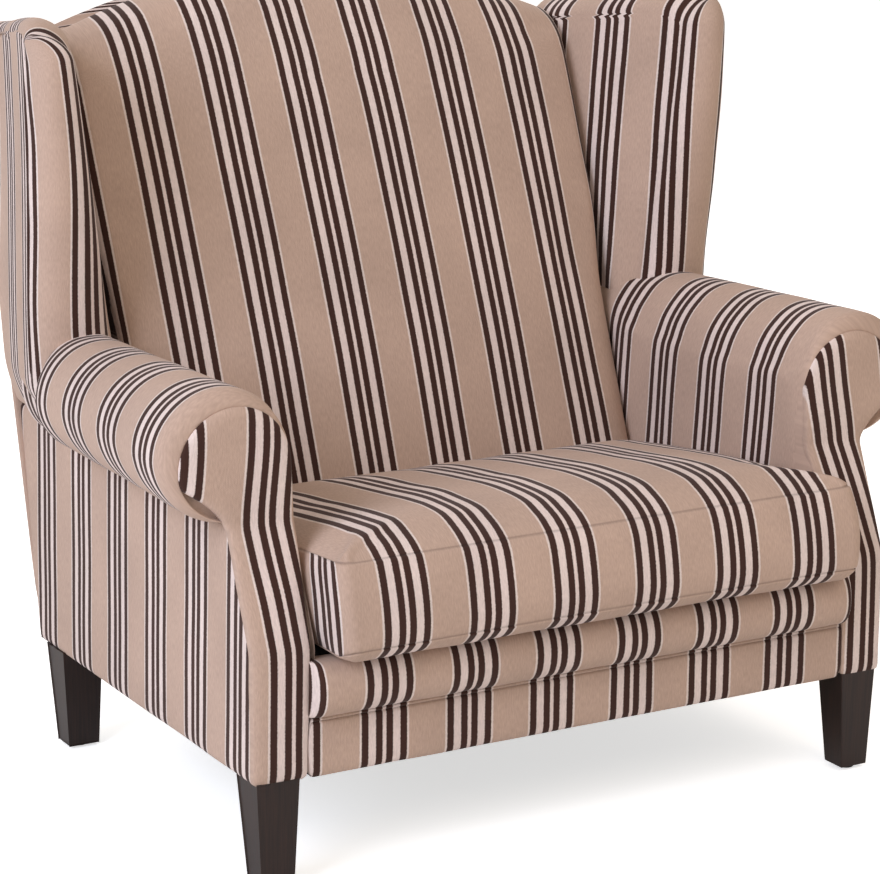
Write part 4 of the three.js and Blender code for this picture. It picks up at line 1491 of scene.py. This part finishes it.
@dataclass
class BackPad(Part):
    """The inside back: a deep crowned pad between the wings that rolls over the arched top."""

    stripe_middle: float = 70.5
    stripe_scale: float = 1.018
    crown: float = 20.0
    side_round: float = 28.0
    top_round: float = 54.0
    top_run: float = 70.0
    post_top: float = 944.3
    behind_post: float = 71.4  # from the outside back to the pad's rear, with the post between
    lean: float = 0.017  # how much the stripes lean for each step of height
    stripe_level: float = 480.0  # height at which their place is given
    widen_start: float = 590.0  # height from which the pad widens
    widen_run: float = 168.0
    columns: int = 64

    def ring(self, share: float, full: bool, turn: float) -> Station:
        """Returns one ring of the pad.

        Args:
            share: Share of the height of its part of the pad.
            full: Whether the pad reaches the outside back here.
            turn: Angle over the rounded top, from 0 to a right angle.

        Returns:
            The ring's points.
        """
        foot = LAYOUT.deck_top + 0.3

        def height(x: float) -> float:
            """Height of the ring across the chair.

            Args:
                x: The place across the chair.

            Returns:
                The height.
            """
            if not full:
                return mix(foot, self.post_top, share)
            level = mix(self.post_top, LAYOUT.arch(x) - self.top_round, share)
            return level + self.top_round * math.sin(turn)

        middle = height(0.0)
        widened = ease((middle - self.widen_start) / self.widen_run)
        half = mix(LAYOUT.back_low, LAYOUT.back_high, widened)
        over = 1 - math.cos(turn)
        rise = math.sin(math.pi * within((middle - foot) / (LAYOUT.height - foot)))
        flat = half - self.side_round

        def front(x: float) -> float:
            """Depth of the ring's front across the chair."""
            bulge = self.crown * (1 - (x / half) ** 2) * rise
            return LAYOUT.inside_back(height(x)) - bulge + self.top_run * over

        def behind(x: float) -> float:
            """Depth of the ring's rear across the chair."""
            depth = LAYOUT.panel + 0.5 if full else self.behind_post
            return LAYOUT.outside_back(height(x)) - depth - 8.0 * over

        edge = []
        for angle in spread(math.pi / 2, 0, 9):
            deep = self.side_round * (1 - math.cos(angle)) * (1 - over)
            edge.append((-flat - self.side_round * math.sin(angle), deep))
        line = [(x, front(x) + deep) for x, deep in edge]
        line += [(x, front(x)) for x in spread(-flat, flat, self.columns)[1:-1]]
        line += [(-x, front(-x) + deep) for x, deep in reversed(edge)]
        seen = len(line) - 1  # up to here the stripes are counted along the cloth
        line += [(half, mix(line[-1][1], behind(half), 0.5))]
        line += [(x, behind(x)) for x in spread(half, -half, 20)]
        line += [(-half, mix(line[0][1], behind(-half), 0.5)), line[0]]
        at = lengths(line)
        centre = at[len(edge) + self.columns // 2 - 1]
        # behind, the stripes follow those in front, so they run straight over the top
        across = at[:seen] + [centre + x for x, _ in line[seen:]]
        shift = self.lean * (middle - self.stripe_level) - self.stripe_middle
        return [
            (x, y, height(x), (place - centre) * self.stripe_scale + shift, middle)
            for (x, y), place in zip(line, across)
        ]

    def make(self) -> None:
        """Builds the inside back."""
        rows = [self.ring(share, False, 0.0) for share in spread(0, 1, 46)]
        rows += [self.ring(share, True, 0.0) for share in spread(0.04, 1, 4)]
        rows += [self.ring(1.0, True, turn) for turn in spread(0, math.pi / 2, 12)[1:]]
        piece = self.sewn("inside_back_cover", rows)
        swell(piece, self.held, pressure=1.2, limit=4.0)
        rumple(piece, 2.0, 130.0, 4.4)
        self.adopt(piece, ["back_pad"])

    def held(self, place: Vector) -> float:
        """Returns how firmly a point is held: everywhere but on the pad's front.

        Args:
            place: The point's place in millimetres.

        Returns:
            From 0 for free to 1 for fully held.
        """
        side = abs(place.x) > LAYOUT.back_low - 6
        end = place.z < 330 or place.z > LAYOUT.arch(place.x) - 20
        return 1.0 if side or end or place.y > LAYOUT.inside_back(place.z) + 20 else 0.0


@dataclass
class OutsideBack(Part):
    """The outside back: cloth over a board, with the same arch as the inside."""

    stripe_middle: float = 65.0
    shoulder: float = 415.3  # where the arch ends and the slope behind the wings begins
    below_arch: float = 24.0
    outer_top: float = 992.0

    def ring(self, side: float) -> Station:
        """Returns an upright ring at a share of the half width, from -1 to 1.

        Args:
            side: Share of the half width, from -1 at the left to 1 at the right.

        Returns:
            The ring's points.
        """
        full = LAYOUT.wing_rear_half
        edge_share = self.shoulder / full
        top = LAYOUT.arch(min(abs(side), edge_share) * full) - self.below_arch
        if abs(side) > edge_share + 1e-6:
            top = mix(top, self.outer_top, ease((abs(side) - edge_share) / (1 - edge_share) * 3))
        line = []
        for share in [0.0, 0.004, 0.012, 0.03, *spread(0.06, 0.94, 24), 0.97, 0.988, 0.996, 1.0]:
            z = mix(LAYOUT.base_foot, top, share)
            edge = min(share * 800, (1 - share) * 800, (1 - abs(side)) * 500)
            rear = LAYOUT.outside_back(z)
            x = side * (LAYOUT.wing_outer(rear, z) + 0.5)
            line.append((x, rear + 1.0 - 6.0 * math.exp(-edge / 4.0), z))
        line += [
            (x, LAYOUT.outside_back(z) - LAYOUT.panel + 0.2, z)
            for x, _, z in (line[-1], line[len(line) // 2], line[0])
        ]
        return [(x, y, z, x - self.stripe_middle, z) for x, y, z in [*line, line[0]]]

    def make(self) -> None:
        """Builds the outside back, ring by ring across the chair."""
        edge = self.shoulder / LAYOUT.wing_rear_half
        shares = [*spread(-1, -edge, 6), *spread(-edge, edge, 60)[1:], *spread(edge, 1, 6)[1:]]
        piece = self.sewn("outside_back_cover", [self.ring(share) for share in shares])
        rumple(piece, 1.0, 140.0, 6.2)
        self.adopt(piece, ["outside_back"], fill=0.9)


@dataclass
class Wing(SidedPart):
    """One wing: padding that rounds its nose and top, and a flat cover outside."""

    stripe_low: float = 503.0
    stripe_high: float = 524.0
    low: float = 487.0
    band: float = 40.0
    seam_share: float = 0.62  # height of the outer seam in the rounded top
    pad_foot: float = 64.0  # how far above the roll's underside the padding starts
    behind: float = 10.6  # from the outside back to the wing's rear
    behind_post: float = 71.4  # from the outside back to the padding's rear, with the post between
    board: float = 26.9  # from the wing's outer face to the padding's outer face

    @property
    def shelf(self) -> float:
        """Level at which the rounding of the top begins."""
        return LAYOUT.wing_top_front - self.band

    def rear(self, z: float, behind: float) -> float:
        """Returns the wing's rear at a level, where it runs along the leaning outside back.

        Args:
            z: The level.
            behind: Distance from the outside back to the rear.

        Returns:
            The depth.
        """
        rear = LAYOUT.outside_back(z) - behind
        for _ in range(5):
            rear = LAYOUT.outside_back(LAYOUT.wing_height(rear, z)) - behind
        return rear

    def outline(self, z: float, full: bool) -> list[tuple[float, float]]:
        """Returns the padding's outline at a level: round the nose, to the rear and back outside.

        Args:
            z: The level.
            full: Whether the padding reaches over the board and the post there.

        Returns:
            The points across the chair and in depth.
        """
        seam = LAYOUT.wing_front_at(z) + LAYOUT.wing_nose
        outer, inner = LAYOUT.wing_outer(seam, z), LAYOUT.wing_inner(seam, z)
        mid, half = (outer + inner) / 2, (outer - inner) / 2
        nose = [
            (mid + half * math.cos(a), seam - LAYOUT.wing_nose * math.sin(a) ** 0.8)
            for a in spread(0, math.pi, 28)
        ]
        depths = spread(seam, self.rear(z, self.behind if full else self.behind_post), 26)
        face = [(LAYOUT.wing_inner(y, z), y) for y in depths[1:]]
        deep, lap = (0.0, 0.0) if full else (self.board, 4.0)
        far = [(LAYOUT.wing_outer(y, z) - deep, y) for y in reversed(depths[1:])]
        return [*nose, *face, *far, (LAYOUT.wing_outer(seam + 10.0, z) - lap, seam + 10.0)]

    def across(self, z: float, full: bool) -> list[float]:
        """Returns how far across the stripes each point of the outline lies at a level.

        Args:
            z: The level.
            full: Whether the padding reaches over the board and the post there.

        Returns:
            A distance for each point of the outline.
        """
        line = self.outline(z, full)
        at = lengths(line)
        high = within((z - 650) / 400)
        depth = mix(self.stripe_low, self.stripe_high, high) + StripedCanvas.period
        k = next(k for k in range(29, 54) if line[k][1] >= depth)
        zero = mix(at[k - 1], at[k], (depth - line[k - 1][1]) / (line[k][1] - line[k - 1][1]))
        # the cloth is pulled a little round the nose
        return [length - zero - 0.2 * max(zero - length - 150.0, 0.0) for length in at]

    def ring(self, z: float) -> Station:
        """Returns one ring of the padding below its rounded top.

        Args:
            z: The level.

        Returns:
            The ring's points.
        """
        points = zip(self.outline(z, False), self.across(z, False))
        row = [(x, y, LAYOUT.wing_height(y, z), across, z) for (x, y), across in points]
        return [*row, row[0]]

    def arch(self, turn: float) -> Station:
        """Returns one ring of the rounded top, which rolls from the inner face to the outer seam.

        Args:
            turn: Angle over the top, from 0 at the inner face to half a turn at the outer seam.

        Returns:
            The ring's points.
        """
        line, across = self.outline(self.shelf, True), self.across(self.shelf, True)
        seam = LAYOUT.wing_front_at(self.shelf) + LAYOUT.wing_nose
        share = (1 - math.cos(turn)) / 2
        row = []
        for (x, y), at in zip(line, across):
            deep = max(y, seam)
            side = LAYOUT.wing_outer(deep, self.shelf)
            thick = side - LAYOUT.wing_inner(deep, self.shelf)
            reach = within(math.hypot(x - side, y - deep) / thick)
            rise = (1 - self.seam_share / 2) * math.sin(turn) * reach + self.seam_share * share
            px, py = mix(x, side, share), mix(y, deep, share)
            pz = LAYOUT.wing_height(py, self.shelf + self.band * rise)
            row.append((px, py, pz, at, self.shelf + 60 * turn))
        return [*row, row[0]]

    def pad(self) -> list[Station]:
        """Returns all rings of the padding."""
        rows = [self.ring(z) for z in spread(LAYOUT.roll_bottom + self.pad_foot, self.shelf, 46)]
        return rows + [self.arch(turn) for turn in spread(0.0, math.pi, 16)]

    def cover_ring(self, z: float, top: float) -> Station:
        """Returns the ring of the flat outer cover at a level, below the level of its top.

        Args:
            z: The level.
            top: The level of the cover's top.

        Returns:
            The ring's points.
        """
        front, rear = LAYOUT.wing_front_at(z) + LAYOUT.wing_nose + 0.8, self.rear(z, self.behind)
        line = []
        for y in [front, front + 2, front + 5, *spread(front + 10, rear - 6, 22), rear - 3, rear]:
            edge = min(y - front, (z - self.low) * 1.5, rear - y + 6, top - z)
            line.append((LAYOUT.wing_outer(y, z) + 1.2 - 2.6 * math.exp(-edge / 2.5), y))
        inside = (rear, min(LAYOUT.flare_end, rear - 1.0), front)
        line += [*((LAYOUT.wing_outer(y, z) - 8.0, y) for y in inside), line[0]]
        start = self.across(min(max(z, LAYOUT.wing_full), self.shelf), False)[0]
        return [(x, y, LAYOUT.wing_height(y, z), start - (y - front), z) for x, y in line]

    def cover(self) -> list[Station]:
        """Returns the rings of the flat outer cover, from its seam with the side to the top.

        Returns:
            The rings from the seam up.
        """
        top = self.shelf + self.band * self.seam_share
        low = spread(self.low + 0.3, LAYOUT.wing_full, 14)
        levels = [*low, *spread(LAYOUT.wing_full, top - 6, 34)[1:], top - 3, top - 1.2, top]
        return [self.cover_ring(z, top) for z in levels]

    def make(self) -> None:
        """Builds the padding and the outer cover of this wing."""
        pad = self.sewn("wing_padding", self.pad())
        rumple(pad, 1.4, 90.0, 8.2 * self.side.value)
        self.adopt(pad, [f"wing_pad_{self.side.word}"])
        cover = self.sewn("wing_cover", self.cover())
        self.adopt(cover, [f"wing_panel_{self.side.word}"], fill=0.9)


@dataclass
class Deck(Part):
    """The lining cloth over the springs and the dust cover under the frame."""

    leg: float = 64.0  # how far the dust cover is cut out at a leg

    def make(self) -> None:
        """Builds the deck pad and the dust cover."""
        bm = bmesh.new()
        low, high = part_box("seat_deck_pad")
        place = Matrix.Translation((low + high) / 2) @ Matrix.Diagonal((*(high - low), 1.0))
        bmesh.ops.create_cube(bm, size=1.0, matrix=place)
        eased(bm, 9.0)
        bmesh.ops.subdivide_edges(bm, edges=bm.edges[:], cuts=3, use_grid_fill=True)
        pad = finished("deck_cover", bm, self.finishes.lining, levels=0)
        self.adopt(pad, ["seat_deck_pad"], slot="lining", fill=0.7)
        self.dust_cover()

    def dust_cover(self) -> None:
        """Builds the thin cloth stapled under the frame, cut out round the legs."""
        low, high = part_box("dust_cover")
        bm = bmesh.new()
        size = Matrix.Diagonal((high.x - low.x, high.y - low.y, 1.0, 1.0))
        bmesh.ops.create_grid(bm, x_segments=40, y_segments=30, size=0.5, matrix=size)
        middle = ((low.x + high.x) / 2, (low.y + high.y) / 2, low.z + 0.4 * MM)
        bmesh.ops.translate(bm, verts=bm.verts, vec=middle)
        centres = [(face, face.calc_center_median()) for face in bm.faces]
        corners = [
            face for face, place in centres
            if abs(place.x) > high.x - self.leg * MM and self.by_leg(place.y, low.y, high.y)
        ]
        bmesh.ops.delete(bm, geom=corners, context="FACES")
        for vert in bm.verts:
            vert.co.z += 0.3 * MM * noise.noise(vert.co * 9.0)
        cloth = mesh_object("dust_cloth", bm, self.finishes.lining)
        self.adopt(cloth, ["dust_cover"], slot="lining", fill=None)

    def by_leg(self, y: float, front: float, rear: float) -> bool:
        """Returns whether a depth in metres is beside a front or a rear leg."""
        return y < front + 0.06 or abs(y - (rear - self.leg * MM)) < 0.03


@dataclass
class Legs(Part):
    """The four tapered square legs, with edges eased by sanding."""

    top: float = 58.0
    taper_side: float = 7.0
    taper_front: float = 2.0
    taper_rear: float = 16.0
    height: float = 147.0
    foot: float = 5.3
    edge: float = 1.6  # how much its edges are eased
    rear_front: float = 616.0

    def leg(self, name: str, side: Side, front: float) -> Piece:
        """Builds one leg as a box whose foot is drawn in and whose edges are eased.

        Args:
            name: The leg's name.
            side: The side that it stands on.
            front: Depth of its front.

        Returns:
            The leg.
        """
        bm = bmesh.new()
        bmesh.ops.create_cube(bm, size=1.0)
        outer, inner = LAYOUT.base_half, LAYOUT.base_half - self.top
        for vert in bm.verts:
            low = vert.co.z < 0
            drawn_in = self.taper_side * low
            x = inner + drawn_in if vert.co.x < 0 else outer - drawn_in
            depth = self.taper_front * low if vert.co.y < 0 else self.top - self.taper_rear * low
            vert.co = placed(x * side.value, front + depth, self.foot if low else self.height)
        eased(bm, self.edge)
        piece = finished(name, bm, self.finishes.legs, levels=0)
        piece.data.polygons.foreach_set("use_smooth", [False] * len(piece.data.polygons))
        return piece

    def make(self) -> None:
        """Builds the four legs."""
        for side in Side:
            for end, front in (("front", 0.0), ("rear", self.rear_front)):
                node = f"leg_{end}_{side.word}"
                leg = self.leg(f"tapered_{node}", side, front)
                self.adopt(leg, [node], slot="dark_wood", fill=None)


# ---------------------------------------------------------------- the room for the picture


@dataclass
class Studio:
    """Camera, soft light and pale floor."""

    place: Point = (-2.1108, -3.6474, 1.5062)
    azimuth: float = -30.13
    elevation: float = 14.0
    roll: float = 0.4
    lens: float = 124.57

    def camera(self) -> None:
        """Sets the camera at the photograph's angle and distance."""
        az, el, roll = (math.radians(a) for a in (self.azimuth, self.elevation, self.roll))
        back = Vector((math.sin(az) * math.cos(el), -math.cos(az) * math.cos(el), math.sin(el)))
        right = (-back).cross(Vector((0, 0, 1))).normalized()
        up = right.cross(-back)
        across = right * math.cos(roll) + up * math.sin(roll)
        turned = (across, up * math.cos(roll) - right * math.sin(roll), back)
        data = bpy.data.cameras.new("camera")
        data.lens, data.sensor_width = self.lens, 36.0
        camera = linked("camera", data)
        camera.matrix_world = Matrix.Translation(self.place) @ Matrix(turned).transposed().to_4x4()
        bpy.context.scene.camera = camera

    def lamp(
        self, name: str, place: Point, size: float, power: float, colour: str = "FFFFFF"
    ) -> None:
        """Adds one soft box that faces the chair.

        Args:
            name: The lamp's name.
            place: Its place in metres.
            size: Length of its side in metres.
            power: Its power in watts.
            colour: Its colour as six hex digits.
        """
        data = bpy.data.lights.new(name, "AREA")
        data.shape, data.size, data.energy = "SQUARE", size, power
        data.color = linear(colour)[:3]
        lamp = linked(name, data)
        lamp.location = place
        lamp.rotation_mode = "QUATERNION"
        lamp.rotation_quaternion = (Vector(place) - Vector((0, 0, 0.5))).to_track_quat("Z", "Y")

    def floor(self) -> None:
        """Adds the pale floor, which is white to the camera and keeps the chair's shadow."""
        material, tree = fresh_material("pale_matt_floor")
        shader = set_shader(tree, {"Base Color": linear("F4F3F1"), "Roughness": 0.9})
        seen = add_node(tree, "LightPath").outputs["Is Camera Ray"]
        glow = add_node(tree, "Emission", {"Strength": math_node(tree, "MULTIPLY", seen, 0.62)})
        both = add_node(tree, "AddShader", {0: shader.outputs[0], 1: glow.outputs[0]})
        tree.links.new(both.outputs[0], tree.nodes["Material Output"].inputs[0])
        bm = bmesh.new()
        bmesh.ops.create_grid(bm, x_segments=8, y_segments=8, size=14.0)
        mesh_object("floor", bm, material)

    def world(self) -> None:
        """Surrounds the chair with even pale light."""
        world = bpy.data.worlds.new("studio")
        bpy.context.scene.world = world
        world.use_nodes = True
        tree = world.node_tree
        rays = add_node(tree, "LightPath").outputs
        seen = math_node(tree, "MAXIMUM", rays["Is Camera Ray"], rays["Is Glossy Ray"])
        # warm where it lights the chair, pure white where it is seen
        colour = add_node(tree, "MixRGB", {0: seen, 1: linear("FFF6EE"), 2: linear("FFFFFF")})
        strength = add_node(tree, "MapRange", {0: seen, 3: 0.52, 4: 1.0})
        for made, socket in zip((colour, strength), tree.nodes["Background"].inputs):
            tree.links.new(made.outputs[0], socket)

    def make(self) -> None:
        """Builds the studio."""
        self.camera()
        self.floor()
        self.world()
        self.lamp("key_light", (-3.9, -1.5, 2.6), 2.4, 150, "E2EBFF")
        self.lamp("fill_light", (0.7, -3.1, 3.6), 2.6, 40, "FFEEDC")
        self.lamp("back_light", (1.0, 3.2, 3.0), 2.4, 50)
        bpy.context.scene.view_settings.view_transform = "Standard"


def dress_frame(finishes: Finishes) -> None:
    """Gives the frame's own nodes their finishes.

    Args:
        finishes: The finishes of the chair.
    """
    by_slot = {
        "frame_wood": finishes.beech,
        "spring_steel": finishes.steel,
        "glide_plastic": finishes.plastic,
        "dark_wood": finishes.legs,
        "lining": finishes.lining,
        "striped_fabric": finishes.canvas,
    }
    slots = {row["node"]: row["material_slot"] for row in frame["record"]["subparts"]}
    for name, node in frame["nodes"].items():
        for place in node.material_slots:
            place.material = by_slot[slots[name]]


@dataclass(frozen=True)
class SideFit:
    """What differs between the chair's two sides, whose cloth was laid on by hand."""

    roll_stripe: float  # depth at which the arm's main group of stripes runs over the roll
    facing_foot: float  # how far from the middle the facing's foot begins
    wing_stripes: tuple[float, float]  # depth of the wing's main group, low and high
    facing_stripes: tuple[tuple[float, float], ...]  # heights, and the main group's place there


FITS = {
    Side.RIGHT: SideFit(165.5, 430.0, (503.0, 524.0), (
        (140, 470.0), (290, 469.0), (350, 464.0), (403, 458.5), (437, 453.0),
        (486, 446.4), (530, 440.0), (574, 433.5), (640, 423.0),
    )),
    Side.LEFT: SideFit(129.0, 417.0, (489.0, 496.0), (
        (140, 440.0), (306, 438.0), (379, 439.0), (426, 442.0), (474, 444.3),
        (500, 441.6), (525, 437.3), (564, 432.6), (640, 431.0),
    )),
}


def main() -> None:
    """Builds the chair's covers, legs and studio in order."""
    logging.basicConfig(level=logging.INFO, format="%(message)s")
    Studio().make()
    finishes = Finishes.build()
    dress_frame(finishes)
    kinds = (Legs, Deck, Border, SeatCushion, BackPad, OutsideBack)
    parts: list[Part] = [kind(finishes) for kind in kinds]
    for side, fit in FITS.items():
        parts += [
            ArmCover(finishes, side, fit.roll_stripe),
            Facing(finishes, side, fit.facing_stripes, fit.facing_foot),
            SidePanel(finishes, side),
            Wing(finishes, side, *fit.wing_stripes),
        ]
    for part in parts:
        part.make()


if __name__ == "__main__":
    main()
